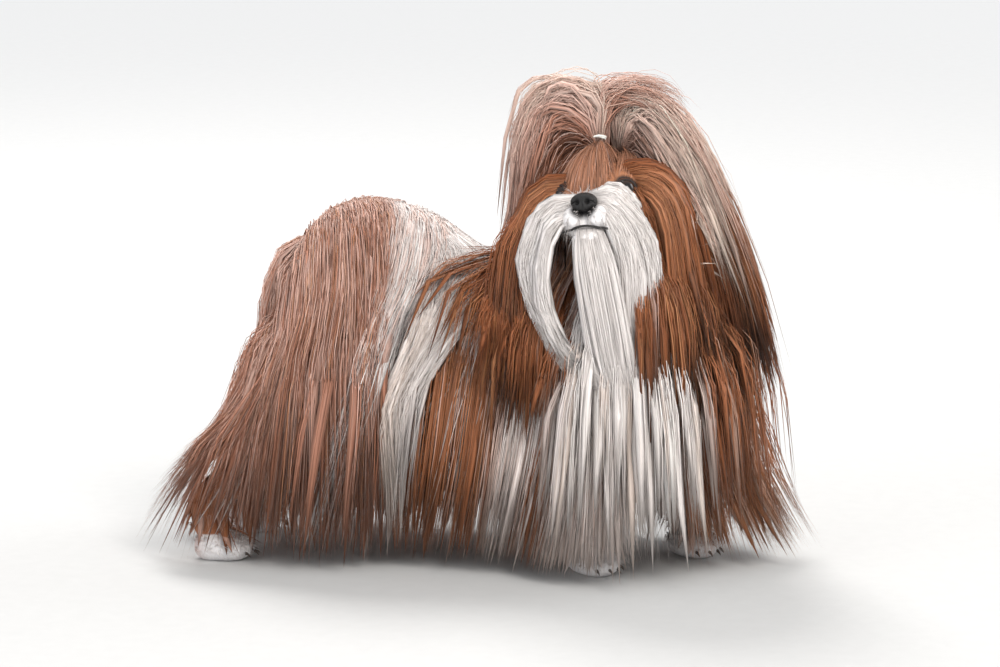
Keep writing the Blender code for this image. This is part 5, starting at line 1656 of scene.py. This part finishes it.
@dataclass
class Plume:
    """The coat of the tail, which parts along its arch and falls on both sides and behind.

    Attributes:
        fall: guide curves of the white hair that falls on the near flank, in millimetres along FACE_AXES.
    """

    roots: int = 860
    strands: int = 3400
    base: Cut = lock(0.010)
    cut: Cut = Cut(width=0.0009)
    fall: tuple = (
        ((-30, 312, 24), (-4, 295, 45), (13, 277, 62), (24, 253, 76), (18, 231, 86), (-9, 215, 93),
         (-34, 190, 98), (-56, 163, 102), (-67, 128, 104), (-71, 82, 105), (-74, 31, 105)),
        ((-44, 318, 22), (-27, 297, 45), (-16, 275, 62), (-12, 249, 76), (-21, 221, 86), (-42, 195, 93),
         (-61, 167, 98), (-71, 139, 102), (-75, 107, 104), (-76, 63, 105), (-76, 17, 105)),
        ((-61, 323, 22), (-49, 301, 45), (-43, 273, 62), (-45, 238, 76), (-56, 206, 86), (-71, 175, 93),
         (-84, 146, 98), (-88, 118, 102), (-83, 86, 104), (-79, 48, 105), (-78, 8, 105)))

    def hair(self, coat: Coat, t: Array, degrees: Array, leave: Array, spread: float, bend: float,
             sway: Array) -> Wisps:
        """Wisps of the plume from their roots on the tail, with pinkish, gold and dark brown streaks; the
        pinkish ones are partly painted highlight.
        """
        form = FORMS["tail"]
        place, out = form.surface(t, degrees)
        deep = np.clip(np.abs(degrees) / 86, 0, 1)
        over = [(form, lerp(0.006, 0.001, deep)), (FORMS["torso"], lerp(0.042, 0.028, deep)),
                *[(FORMS[name], lerp(0.034, 0.020, deep)) for name in BODY.legs]]
        root = MARKINGS.root("tail", t, degrees)
        pale = root.mean(1) > 0.4
        # Pink streaks: partly painted highlight on the plume.
        root = streaked(coat.rng, root, Tone.PINK_AND_SHEEN, 0.45, 0.75)
        tips = mix(root, Tone.RUST.rgb, np.where(pale, 0.05, 0.55))
        reach = np.interp(t, (0.70, 0.80, 0.95), (0.50, 0.17, 0.08))
        return coat.wisps("tail", t, degrees, place, out, leave, over, reach, root, tips,
                          layers=(-0.002, 0.002), spread=spread, bend=bend, sway=sway)

    def grow(self, coat: Coat, wisps: Wisps, count: int) -> None:
        """Locks and strands of the plume, with single pinkish, dark and golden strands among them. The pinkish
        ones are partly painted highlight, and the locks are dimmed as painted shade under the strands.
        """
        coat.add(wisps, len(wisps) // 2, self.base, dim=0.8)
        coat.add(wisps, count, self.cut,
                 accents=((Tone.PINK_AND_SHEEN, 0.28, 0.9), (Tone.UMBER, 0.12, 0.6), (Tone.GOLD, 0.12, 0.6)))

    def side(self, sign: int) -> Coat:
        """One side of the plume."""
        coat = Coat(f"coat_plume_{'left' if sign > 0 else 'right'}", 140 + sign)
        form = FORMS["tail"]
        t, u = coat.scatter(self.roots, (0.05, 0.985), (1.0, 86.0), 1.6)
        out = form.surface(t, u * sign)[1]
        along = form.sections(t)[3]
        aside = BODY.hind_left * sign
        ahead = 0.30 - 0.9 * np.clip(0.4 - t, 0, None) + 2.4 * np.clip(t - 0.76, 0, None)
        leave = aside * 0.85 + out * 0.25 + along * ahead[:, None]
        sway = -BODY.hind * (0.36 * rise(0.55, 0.8, t))[:, None]
        self.grow(coat, self.hair(coat, t, u * sign, leave, 0.4, 0.22, sway), self.strands)
        if sign < 0:
            self.tip(coat)
        return coat

    def tip(self, coat: Coat) -> None:
        """White hair of the tail's tip, which falls forward over the back and then down the right flank."""
        over = ((FORMS["torso"], 0.034), (FORMS["leg_hind_right"], 0.026))
        wisps = coat.combed(self.fall, 200, 0.016, (Tone.WHITE, Tone.WHITE), (Tone.WHITE, Tone.CREAM), over,
                            1.5, "tail")
        coat.add(wisps, 100, lock(0.008, sink=0.001, shorten=0.7), shade=0.05)
        # The pink accents are partly painted highlight.
        coat.add(wisps, 1000, Cut(width=0.0008, shorten=0.6, rings=7), shade=0.07,
                 accents=((Tone.PINK_AND_SHEEN, 0.2, 0.6),))

    def rear(self) -> Coat:
        """The fall behind the tail's root."""
        coat = Coat("coat_plume_rear", 145)
        t, degrees = coat.scatter(260, (0.03, 0.34), (-45, 45))
        out = FORMS["tail"].surface(t, degrees)[1]
        self.grow(coat, self.hair(coat, t, degrees, out, 0.6, 0.30, np.zeros(3)), 1500)
        return coat

    def dress(self, hair: bpy.types.Material) -> None:
        """Builds and dresses the three pieces."""
        for coat in (self.side(1), self.side(-1), self.rear()):
            coat.finish(hair, "coat_tail", "tail")


@dataclass
class Feathers:
    """The coat of the legs, and the short hair of the paws."""

    base: Cut = lock(0.009, rings=6)
    cut: Cut = Cut(radius=0.0035, rings=6)
    paw_cut: Cut = Cut(width=0.0008, radius=0.0022, depth=0.0015, wave=0.0006, rings=5)

    def build(self) -> Coat:
        """All four legs."""
        coat = Coat("coat_legs", 150)
        for name in BODY.legs:
            form, paw = FORMS[name], FORMS[name.replace("leg", "paw")]
            t, degrees = coat.scatter(90, (0.36, 0.93), (0, 360))
            place, out = form.surface(t, degrees)
            # Pink streaks are partly painted highlight, and the locks below are dimmed as painted shade under
            # the strands.
            root = streaked(coat.rng, MARKINGS.root(name, t, degrees), Tone.PINK_AND_SHEEN, 0.2)
            wisps = coat.wisps(name, t, degrees, place, out, out + DOWN * 1.4, [(form, 0.006), (paw, 0.004)],
                               np.full(len(t), 0.3), root, root, layers=(-0.003, 0.006), spread=0.25, bend=0.3,
                               tip=0.002)
            coat.add(wisps, len(t) // 2, self.base, dim=0.85)
            coat.add(wisps, 160, self.cut)
            forward = BODY.ankles[name][1]
            pt, pd = coat.scatter(170, (0.05, 0.97), (-12, 192))
            place, out = paw.surface(pt, pd)
            root = MARKINGS.root(name.replace("leg", "paw"), pt, pd)
            wisps = coat.wisps(name.replace("leg", "paw"), pt, pd, place, out, out * 0.35 + forward + DOWN * 0.4,
                               [(paw, 0.0035)], np.full(len(pt), 0.020), root, root, layers=(-0.002, 0.003),
                               bend=0.2, tip=0.0015)
            coat.add(wisps, 420, self.paw_cut)
        return coat

    def dress(self, hair: bpy.types.Material) -> None:
        """Builds and dresses the coat of the legs."""
        self.build().finish(hair, "coat_leg", *BODY.legs)


@dataclass
class EarFringe:
    """The long fringe of the ears. The left one stands out over the shoulder.

    Attributes:
        sheet: guide curves of the left ear's fringe, in millimetres along FACE_AXES.
        tips: those of the right ear's dark ends.
    """

    roots: int = 340
    strands: int = 1550
    base: Cut = lock(0.008)
    cut: Cut = Cut(radius=0.0045)
    sheet: tuple = (
        ((160, 347, 126), (178, 334, 134), (193, 306, 138), (203, 267, 137), (209, 227, 132),
         (214, 185, 126), (218, 142, 120)),
        ((162, 351, 122), (191, 348, 128), (211, 323, 132), (228, 282, 132), (242, 236, 129),
         (253, 190, 124), (261, 144, 118)),
        ((163, 355, 118), (198, 361, 122), (222, 339, 126), (243, 297, 128), (261, 246, 126),
         (276, 196, 122), (286, 148, 116)))
    tips: tuple = (
        ((34, 330, 122), (24, 300, 126), (17, 262, 128), (13, 222, 130), (12, 180, 130), (16, 140, 128)),
        ((40, 330, 130), (33, 298, 134), (28, 260, 136), (26, 220, 137), (27, 176, 136), (32, 128, 134)),
        ((46, 328, 136), (42, 296, 142), (39, 258, 143), (38, 218, 142), (42, 172, 141), (50, 124, 138)))

    def side(self, side: int) -> Coat:
        """One ear."""
        name = "ear_left" if side > 0 else "ear_right"
        coat = Coat(f"coat_{name}", 160 + side)
        form, wide = FORMS[name], side > 0
        t, angle = coat.scatter(self.roots, (0.10, 0.96), (-95, 95) if wide else (-60, 95))
        place, out = form.surface(t, 90 * side + angle)
        fan = out - BODY.left * dot(out, BODY.left)
        leave = BODY.left * side * (0.15 if wide else 0.10) + fan * (0.5 if wide else 0.30) + DOWN * 0.8
        over = [(FORMS["head"], 0.012), (FORMS["neck"], 0.030 if wide else 0.024),
                (FORMS["torso"], 0.060 if wide else 0.034)]
        reach = np.interp(t, (0.22, 0.74), (0.230, 0.165))
        root = MARKINGS.root(name, t, 90 * side + angle)
        root = streaked(coat.rng, root, Tone.GOLD, 0.22, 0.6)
        root = streaked(coat.rng, root, Tone.UMBER, 0.35, 0.9)
        dark = np.clip(coat.rng.uniform(0.35, 1.0, len(t)), 0, 1)
        wisps = coat.wisps(name, t, 90 * side + angle, place, out, leave, over, reach, root,
                           mix(root, Tone.SOOT.rgb, dark), layers=(-0.006, 0.004), tip=0.12,
                           bend=0.16 if wide else 0.22, sway=(0, 0, 0) if wide else BODY.head_level * 0.5)
        coat.add(wisps, len(t) // 2, self.base, dim=0.8)
        coat.add(wisps, self.strands, self.cut, accents=((Tone.GOLD, 0.15, 0.6), (Tone.SOOT, 0.15, 0.7)))
        if wide:
            wisps = coat.combed(self.sheet, 230, 0.018, (Tone.BROWN, Tone.RUST, Tone.BROWN, Tone.BROWN),
                                (Tone.RUST, Tone.UMBER, Tone.SOOT, Tone.RUST),
                                ((form, 0.004), (FORMS["neck"], 0.03)))
            coat.add(wisps, 100, self.base, dim=0.75)
            coat.add(wisps, 1300, self.cut, accents=((Tone.GOLD, 0.12, 0.6), (Tone.UMBER, 0.20, 0.7)))
        else:
            wisps = coat.combed(self.tips, 150, 0.016, (Tone.RUST, Tone.BROWN, Tone.RUST),
                                (Tone.SOOT, Tone.SOOT, Tone.UMBER), ((FORMS["neck"], 0.02),), 1.5)
            coat.add(wisps, 60, self.base, dim=0.75)
            coat.add(wisps, 650, self.cut, accents=((Tone.GOLD, 0.10, 0.5), (Tone.SOOT, 0.25, 0.7)))
        return coat

    def dress(self, hair: bpy.types.Material) -> None:
        """Builds and dresses both fringes."""
        self.side(1).finish(hair, "coat_ear", "ear_left")
        self.side(-1).finish(hair, "coat_ear", "ear_right")


@dataclass
class Topknot:
    """The hair above the bands. The front stem falls to the dog's right, the rear one far over its left ear.

    Attributes:
        sectors: the turns that each stem's hair falls to, in degrees from the muzzle over the left ear.
        arch_right, arch_left, arch_over: guide curves of the combed arches, in millimetres along FACE_AXES.
    """

    roots: int = 300
    strands: int = 900
    sectors: tuple = ((120.0, 260.0), (100.0, 235.0))
    base: Cut = lock(0.005, rings=8, sink=0.001)
    cut: Cut = Cut(width=0.0009, radius=0.0032, depth=0.003, stray=0.04, rings=7)
    arch_cut: Cut = Cut(width=0.0008, radius=0.0032, depth=0.003, stray=0.05, rings=8, shorten=0.8)
    arch_right: tuple = (
        ((110, 388, 127), (116, 411, 132), (109, 430, 134), (81, 438, 134), (51, 430, 128),
         (37, 401, 120), (34, 365, 110), (35, 325, 102), (30, 286, 96)),
        ((110, 388, 127), (108, 409, 135), (93, 423, 138), (71, 426, 136), (55, 414, 130),
         (47, 386, 122), (43, 359, 114), (43, 324, 106), (38, 289, 99)),
        ((109, 388, 127), (103, 401, 135), (88, 410, 138), (72, 408, 136), (61, 393, 130),
         (55, 370, 124), (51, 347, 116), (49, 319, 108), (46, 291, 102)),
        ((109, 388, 127), (99, 391, 133), (87, 388, 135), (76, 380, 133), (68, 365, 130), (63, 347, 126),
         (59, 326, 120), (57, 306, 114), (54, 284, 108)),
        ((110, 387, 124), (105, 386, 128), (96, 382, 130), (89, 373, 129), (82, 362, 127),
         (75, 348, 124), (70, 333, 120), (66, 317, 114), (63, 299, 108)))
    arch_left: tuple = (
        ((130, 380, 101), (122, 409, 112), (129, 428, 122), (158, 428, 128), (194, 393, 134),
         (224, 324, 136), (252, 254, 132), (268, 201, 126)),
        ((130, 380, 101), (133, 405, 114), (149, 421, 124), (173, 408, 132), (195, 369, 138),
         (216, 315, 140), (235, 264, 138), (250, 220, 132)),
        ((131, 380, 101), (139, 393, 114), (153, 402, 124), (169, 382, 132), (182, 359, 138),
         (195, 328, 142), (208, 295, 142), (220, 264, 140)),
        ((131, 380, 101), (140, 383, 112), (151, 382, 122), (162, 370, 130), (170, 354, 134),
         (178, 334, 136), (186, 312, 138), (195, 288, 138)))

    arch_over: tuple = (
        ((110, 388, 127), (106, 412, 132), (110, 430, 132), (130, 437, 130), (155, 435, 128),
         (176, 424, 128), (188, 405, 130)),
        ((110, 388, 127), (112, 406, 130), (122, 420, 130), (140, 424, 128), (160, 418, 128),
         (176, 404, 130), (188, 384, 132)))

    def stem(self, coat: Coat, forward: float, left: float, sector: tuple) -> Wisps:
        """Wisps of one stem: from the scalp straight up through the band, then an arch and a fall."""
        n = self.roots // 2
        i = np.arange(n) + 0.5
        turn = np.radians(sector[0] + (sector[1] - sector[0]) * ((i * GOLDEN_SHARE) % 1.0))
        spread = np.sqrt(i / n)
        out = unit(BODY.ahead * np.cos(turn)[:, None] + BODY.left * np.sin(turn)[:, None])
        top = BODY.at(forward - 0.004, left, 0.092) + out * (0.009 * spread)[:, None] \
            + BODY.up * (0.010 * (1 - spread))[:, None]
        reach = coat.vary(0.125, 0.15, n)
        back = np.clip(-out @ BODY.ahead, 0, 1)
        leave = mix(BODY.up, UP, back[:, None]) * (0.70 + 0.45 * (1 - spread))[:, None] \
            + out * (0.50 - 0.50 * back)[:, None]
        over = [(FORMS["head"], 0.018), *[(form, 0.014) for form in BODY.ear_coats], (FORMS["torso"], 0.03)]
        lifted = coat.rng.uniform(-0.006, 0.006, n)
        path, side = drape(top, out, leave, [(form, np.maximum(d + lifted, 0.001)) for form, d in over], reach,
                           bend=0.28 + 0.34 * back, tip=0.20)
        tie = BODY.at(forward, left, BODY.band_height) + out * (0.0045 * spread)[:, None]
        s = np.linspace(0, 1, 6)[None, :, None]
        low = (tie - BODY.up * 0.016 + out * (0.004 * spread)[:, None])[:, None]
        tie, high = tie[:, None], top[:, None]
        climb = np.concatenate((low + (tie - low) * s[:, :-1], tie + (high - tie) * s), axis=1)
        path = np.concatenate((climb, path[:, 2:]), axis=1)
        side = np.concatenate((np.repeat(out[:, None], climb.shape[1], axis=1), side[:, 2:]), axis=1)
        patch = FORMS["head"].unwrap(np.full(n, 0.42) + 0.05 * np.sin(turn), 90 + 20 * np.cos(turn))
        # The pink streaks and pink tips are partly painted highlight.
        root = streaked(coat.rng, np.broadcast_to(Tone.FAWN.rgb, (n, 3)), Tone.PINK_AND_SHEEN, 0.35, 0.7)
        return Wisps(*even(path, side), root, mix(root, Tone.PINK_AND_SHEEN.rgb, 0.25), patch)

    def build(self) -> Coat:
        """Both stems and their falls."""
        coat = Coat("coat_topknot", 170)
        for (forward, left), sector in zip(BODY.bands, self.sectors):
            wisps = self.stem(coat, forward, left, sector)
            # The locks are dimmed as painted shade under the strands, and the pink accents are partly painted
            # highlight.
            coat.add(wisps, len(wisps) // 2, self.base, shade=0.2, dim=0.7)
            coat.add(wisps, self.strands // 2, self.cut, shade=0.2,
                     accents=((Tone.PINK_AND_SHEEN, 0.40, 1.0), (Tone.UMBER, 0.15, 0.7), (Tone.GOLD, 0.10, 0.5)))
        over = ((FORMS["head"], 0.006), *((form, 0.010) for form in BODY.ear_coats))
        # Across each arch the outer curves are pale, cream and pink, as a painted highlight on its top, and the
        # inner curves umber as painted shade in the hollow under it.
        for curves, roots, tips in (
                (self.arch_right, (Tone.CREAM, Tone.PINK_AND_SHEEN, Tone.FAWN, Tone.UMBER, Tone.UMBER),
                 (Tone.PINK_AND_SHEEN, Tone.FAWN, Tone.RUST)),
                (self.arch_left, (Tone.PINK_AND_SHEEN, Tone.CREAM, Tone.PINK_AND_SHEEN, Tone.UMBER),
                 (Tone.FAWN, Tone.CREAM, Tone.CREAM, Tone.UMBER))):
            wisps = coat.combed(curves, 320, 0.030, roots, tips, over, loose=2.6)
            coat.add(wisps, 170, self.base, shade=0.2, dim=0.8)
            coat.add(wisps, 1100, self.arch_cut, shade=0.2,
                     accents=((Tone.PINK_AND_SHEEN, 0.25, 1.0), (Tone.FAWN, 0.25, 0.7)))
        # The outer curve is pink as a painted highlight on top of the arch.
        wisps = coat.combed(self.arch_over, 150, 0.030, (Tone.PINK_AND_SHEEN, Tone.FAWN), (Tone.PINK_AND_SHEEN, Tone.FAWN), over,
                            loose=3.0)
        coat.add(wisps, 380, self.arch_cut, shade=0.2,
                 accents=((Tone.CREAM, 0.25, 0.8), (Tone.FAWN, 0.25, 0.7)))
        return coat

    def dress(self, hair: bpy.types.Material) -> None:
        """Builds and dresses the topknot."""
        self.build().finish(hair, "coat_topknot", "topknot")


@dataclass
class FaceCoat:
    """The hair of the head: drawn up to the bands, moustache and beard, cheeks, and short hair on the face.

    The guide curves of combed hair are rows of (across, up, near) in millimetres along FACE_AXES.
    """

    fine: Cut = Cut(width=0.0007, radius=0.0024, depth=0.0016, wave=0.0008, rings=7, stray=0.01, shorten=0.8)
    short: Cut = Cut(width=0.0006, radius=0.0014, depth=0.0006, wave=0.0004, rings=5, stray=0.0)
    lobe_left: tuple = (
        ((97, 334, 176), (114, 337, 178), (128, 331, 180), (145, 316, 180), (158, 296, 178),
         (165, 262, 172), (163, 229, 165), (156, 188, 158)),
        ((103, 328, 180), (116, 324, 187), (127, 317, 190), (137, 302, 190), (146, 278, 188),
         (149, 245, 182), (147, 209, 174), (143, 168, 166)),
        ((106, 318, 188), (114, 313, 193), (119, 302, 196), (124, 288, 194), (128, 266, 190),
         (130, 236, 184), (133, 196, 176), (140, 148, 167)))
    lobe_right: tuple = (
        ((92, 334, 176), (75, 333, 170), (57, 323, 160), (44, 299, 152), (40, 271, 148), (47, 238, 146),
         (66, 199, 148), (95, 175, 152)),
        ((86, 329, 180), (75, 323, 176), (64, 310, 170), (57, 288, 164), (52, 264, 160), (59, 231, 158),
         (79, 194, 158), (101, 172, 158)),
        ((82, 317, 186), (74, 310, 185), (66, 299, 181), (60, 282, 175), (57, 256, 170), (61, 223, 166),
         (78, 190, 162), (100, 168, 160)))
    chin: tuple = (
        ((86, 301, 194), (88, 278, 199), (94, 249, 193), (99, 218, 187), (106, 185, 179),
         (114, 150, 171), (122, 118, 164)),
        ((114, 301, 200), (122, 277, 200), (128, 247, 193), (135, 215, 187), (140, 183, 179),
         (147, 147, 171), (153, 111, 164)))
    brow_left: tuple = (
        ((150, 343, 162), (158, 335, 166), (168, 317, 170), (174, 288, 168), (177, 251, 163),
         (179, 214, 157), (183, 170, 150)),
        ((141, 352, 152), (156, 352, 158), (173, 341, 162), (185, 317, 160), (192, 280, 156),
         (198, 233, 150), (206, 181, 143)),
        ((119, 356, 146), (143, 364, 150), (168, 361, 150), (189, 339, 148), (204, 300, 146),
         (218, 247, 141), (230, 190, 135)))
    brow_right: tuple = (
        ((77, 338, 150), (62, 334, 148), (46, 317, 142), (36, 291, 138), (32, 258, 134), (35, 221, 130),
         (44, 187, 128)),
        ((84, 345, 145), (66, 343, 140), (47, 330, 133), (36, 302, 127), (30, 264, 122), (29, 221, 118),
         (32, 179, 114)),
        ((91, 352, 140), (69, 352, 133), (48, 340, 125), (34, 310, 117), (26, 267, 111), (23, 220, 106),
         (21, 172, 100)))

    def swept_up(self, coat: Coat) -> None:
        """Hair of brow, temples and crown: an arc from each root, held off the skull, to the nearer band."""
        form = FORMS["head"]
        t, degrees = coat.scatter(760, (0.03, 0.80), (8, 172))
        place, out = form.surface(t, degrees)
        left = (place - BODY.skull) @ BODY.left
        ahead = (place - BODY.skull) @ BODY.ahead
        from_eye = np.minimum(*(np.linalg.norm(place - BODY.eye(side), axis=1) for side in (1, -1)))
        high = (place - BODY.skull) @ BODY.up > 0.012
        keep = (from_eye > 0.0140) & (high | (ahead < 0.01) | (np.abs(left) < 0.018))
        t, degrees, place, out, left, ahead = (v[keep] for v in (t, degrees, place, out, left, ahead))
        rear = (ahead < 0.006) | (left > 0.022)
        ties = np.array([BODY.at(forward, side, BODY.band_height - 0.004) for forward, side in BODY.bands])
        tie = ties[rear.astype(int)] + coat.rng.normal(0, 0.0022, (len(t), 3))
        gap = np.linalg.norm(tie - place, axis=1, keepdims=True)
        middle = mix(place, tie, 0.5) + out * gap * 0.24
        s = np.linspace(0, 1, 12)[None, :, None]
        start = (place - out * 0.002)[:, None]
        path = start * (1 - s) ** 2 + 2 * middle[:, None] * s * (1 - s) + tie[:, None] * s * s
        side = np.repeat(out[:, None], 12, axis=1)
        root = np.tile(mix(Tone.FAWN.rgb, Tone.GOLD.rgb, 0.30), (len(t), 1))
        wisps = Wisps(*even(path, side), root, root, form.unwrap(t, degrees))
        # The locks are dimmed as painted shade under the strands, and the pink accents are partly painted
        # highlight.
        coat.add(wisps, len(wisps) // 2, lock(0.004, shorten=0.97, sink=0.0005), dim=0.9)
        coat.add(wisps, 2200, Cut(width=0.0007, radius=0.0026, depth=0.0014, wave=0.0008, rings=6, gather=0.5,
                                  shorten=0.9, stray=0.02),
                 accents=((Tone.PINK_AND_SHEEN, 0.15, 0.6), (Tone.UMBER, 0.12, 0.5)))

    def brow(self, coat: Coat) -> None:
        """Golden hair that sets off above each eye, arcs over it and falls beside the moustache."""
        for curves, roots in ((self.brow_left, (Tone.BROWN, Tone.BROWN, Tone.RUST)),
                              (self.brow_right, (Tone.BROWN, Tone.BROWN, Tone.RUST))):
            wisps = coat.combed(curves, 200, 0.016, roots, (Tone.RUST, Tone.RUST, Tone.RUST))
            coat.add(wisps, 120, lock(0.006, rings=7, sink=0.0005), dim=0.9)
            coat.add(wisps, 900, self.fine, accents=((Tone.GOLD, 0.20, 0.6), (Tone.UMBER, 0.12, 0.5)))

    def moustache(self, coat: Coat) -> None:
        """White hair that leaves the bridge and lips sideways and falls in two full lobes."""
        for curves in (self.lobe_left, self.lobe_right):
            wisps = coat.combed(curves, 330, 0.016, (Tone.WHITE, Tone.WHITE), (Tone.WHITE, Tone.WHITE))
            coat.add(wisps, 200, lock(0.006, rings=7, sink=0.0005), shade=0.04)
            coat.add(wisps, 1550, self.fine, shade=0.06, accents=((Tone.CREAM, 0.08, 0.4),))

    def beard(self, coat: Coat) -> None:
        """White hair of the chin, which falls straight down."""
        wisps = coat.combed(self.chin, 220, 0.024, (Tone.WHITE, Tone.WHITE), (Tone.WHITE, Tone.WHITE))
        coat.add(wisps, 130, lock(0.006, rings=7, sink=0.0005), shade=0.04)
        coat.add(wisps, 1050, self.fine, shade=0.06, accents=((Tone.CREAM, 0.10, 0.4),))

    def cheeks(self, coat: Coat) -> None:
        """Long hair behind and below the eyes that falls beside the neck."""
        form = FORMS["head"]
        for side in (1, -1):
            t, u = coat.scatter(320, (0.14, 0.66), (-62, 24))
            degrees = u if side > 0 else 180 - u
            place, out = form.surface(t, degrees)
            over = [(form, 0.007), (FORMS["neck"], 0.030), (FORMS["torso"], 0.050)]
            root = mix(MARKINGS.root("head", t, degrees), Tone.RUST.rgb, 0.6)
            root = streaked(coat.rng, root, Tone.GOLD, 0.25)
            root = streaked(coat.rng, root, Tone.UMBER, 0.20, 0.5)
            reach = np.interp(t, (0.14, 0.60), (0.225, 0.17))
            wisps = coat.wisps("head", t, degrees, place, out, out * 0.7 + DOWN, over, reach, root,
                               mix(root, Tone.RUST.rgb, 0.6), layers=(-0.003, 0.005), tip=0.08)
            coat.add(wisps, len(t) // 2, lock(0.007), dim=0.8)
            coat.add(wisps, 900, Cut(width=0.0009, radius=0.0035), accents=((Tone.GOLD, 0.15, 0.5),))

    def close(self, coat: Coat) -> None:
        """Short hair that lies on the face and runs away from the nose and round the eyes."""
        nose = BODY.at(0.074, 0, -0.010)
        for k, (form, count) in enumerate(((FORMS["head"], 1000), *[(lip, 260) for lip in BODY.lips()])):
            t, degrees = coat.scatter(count, (0.62, 0.99) if k == 0 else (0.05, 0.98), (-70, 250))
            place, out = form.surface(t, degrees)
            keep = np.ones(len(t), bool)
            away = unit(place - nose)
            for side in (1, -1):
                from_eye = place - BODY.eye(side)
                gap = np.linalg.norm(from_eye, axis=1)
                keep &= gap > BODY.eye_radius + 0.0016
                away = mix(away, unit(from_eye), 0.8 * (1 - rise(0.014, 0.026, gap)))
            keep &= np.linalg.norm(place - nose, axis=1) > 0.0135
            t, degrees, place, out, away = t[keep], degrees[keep], place[keep], out[keep], away[keep]
            root = MARKINGS.root("head", t, degrees) if k == 0 else np.tile(Tone.WHITE.rgb, (len(t), 1))
            root = streaked(coat.rng, root, Tone.CREAM, 0.15, 0.4)
            if k > 0:
                root = streaked(coat.rng, root, Tone.SOOT, 0.35, 0.35)
            lie = unit(away - out * dot(away, out)) + out * (0.16 if k == 0 else 0.35) + DOWN * 0.5 * (k > 0)
            from_nose = np.linalg.norm(place - nose, axis=1)
            reach = np.interp(from_nose, (0.015, 0.05), (0.007 + 0.004 * (k > 0), 0.016))
            wisps = coat.wisps("head", t, degrees, place, out, lie, [(form, 0.0012)], reach, root, root,
                               layers=(-0.0006, 0.0012), bend=0.04, tip=0.0, jitter=0.08)
            coat.add(wisps, count * 2, self.short, shade=0.10 if k == 0 else 0.30, dim=0.9)

    def dress(self, hair: bpy.types.Material) -> None:
        """Builds and dresses the three pieces of the head's coat."""
        for name, seed, groups in (("coat_crown", 181, (self.swept_up, self.brow)),
                                   ("coat_cheeks", 182, (self.cheeks,)),
                                   ("coat_muzzle", 183, (self.moustache, self.beard)),
                                   ("coat_face", 184, (self.close,))):
            coat = Coat(name, seed)
            for group in groups:
                group(coat)
            coat.finish(hair, "coat_head", "head")


@dataclass
class Studio:
    """Pale floor, soft light and the camera."""

    lens: float = 200.0
    distance: float = 5.11
    azimuth: float = -75.0
    elevation: float = 10.0
    aim: tuple = (-0.075, -0.0407, 0.225)
    rim: float = 12.0

    def floor(self) -> None:
        """A wide flat floor, raised softly at its far rim by a cubic so that no edge shows."""
        r = np.concatenate((np.linspace(0, 3.5, 12), np.linspace(4, 16, 14)))[:, None]
        a = np.linspace(0, 2 * np.pi, 72, endpoint=False)[None, :]
        z = 0.03 * np.clip(r - self.rim, 0, None) ** 3 + 0 * a
        points = np.stack((r * np.cos(a), r * np.sin(a), z), axis=-1).reshape(-1, 3)
        mesh = mesh_from("floor", points, sheet_faces(len(r), len(a[0]))[:, ::-1])
        mesh.materials.append(FloorFinish().build())
        floor = bpy.data.objects.new("floor", mesh)
        bpy.context.scene.collection.objects.link(floor)

    def light(self, name: str, place: tuple, size: float, power: float, colour: tuple = (1, 1, 1)) -> None:
        """An area light that faces the dog."""
        data = bpy.data.lights.new(name, "AREA")
        data.shape, data.size, data.energy, data.color = "DISK", size, power, colour
        lamp = bpy.data.objects.new(name, data)
        lamp.location = place
        lamp.rotation_euler = (Vector((0, 0, 0.2)) - lamp.location).to_track_quat("-Z", "Y").to_euler()
        bpy.context.scene.collection.objects.link(lamp)

    def build(self) -> None:
        """Floor, lights, sky and camera."""
        self.floor()
        self.light("key", (-2.2, -1.9, 2.8), 1.6, 120.0, (1.0, 0.97, 0.93))
        self.light("fill", (-2.6, 1.6, 1.2), 2.6, 34.0, (0.97, 0.98, 1.0))
        self.light("rim", (1.8, 1.0, 2.6), 1.4, 95.0, (1.0, 0.98, 0.96))
        self.light("far_fill", (1.6, -2.6, 1.6), 2.4, 34.0)
        world = bpy.data.worlds.new("sky")
        world.use_nodes = True
        world.node_tree.nodes["Background"].inputs[0].default_value = (0.90, 0.92, 0.95, 1)
        world.node_tree.nodes["Background"].inputs[1].default_value = 0.62
        scene = bpy.context.scene
        scene.world = world
        scene.view_settings.view_transform = "Standard"
        data = bpy.data.cameras.new("camera")
        data.lens, data.sensor_width, data.clip_end = self.lens, 36.0, 60.0
        camera = bpy.data.objects.new("camera", data)
        a, e = math.radians(self.azimuth), math.radians(self.elevation)
        back = Vector((math.sin(a) * math.cos(e), -math.cos(a) * math.cos(e), math.sin(e)))
        camera.location = Vector(self.aim) + back * self.distance
        camera.rotation_euler = (-back).to_track_quat("-Z", "Y").to_euler()
        scene.collection.objects.link(camera)
        scene.camera = camera


def main() -> None:
    """Builds every piece in order and reports it."""
    logging.basicConfig(level=logging.INFO, format="%(name)s: %(message)s")
    Studio().build()
    Skin().dress()
    LOG.info("skin done")
    Eyes().dress()
    Nose().dress()
    Bands().dress()
    Claws().dress()
    hair = HairFinish("hair").build()
    BodyCoat().dress(hair)
    Mane().dress(hair)
    Plume().dress(hair)
    Feathers().dress(hair)
    EarFringe().dress(hair)
    Topknot().dress(hair)
    FaceCoat().dress(hair)


if __name__ == "__main__":
    main()
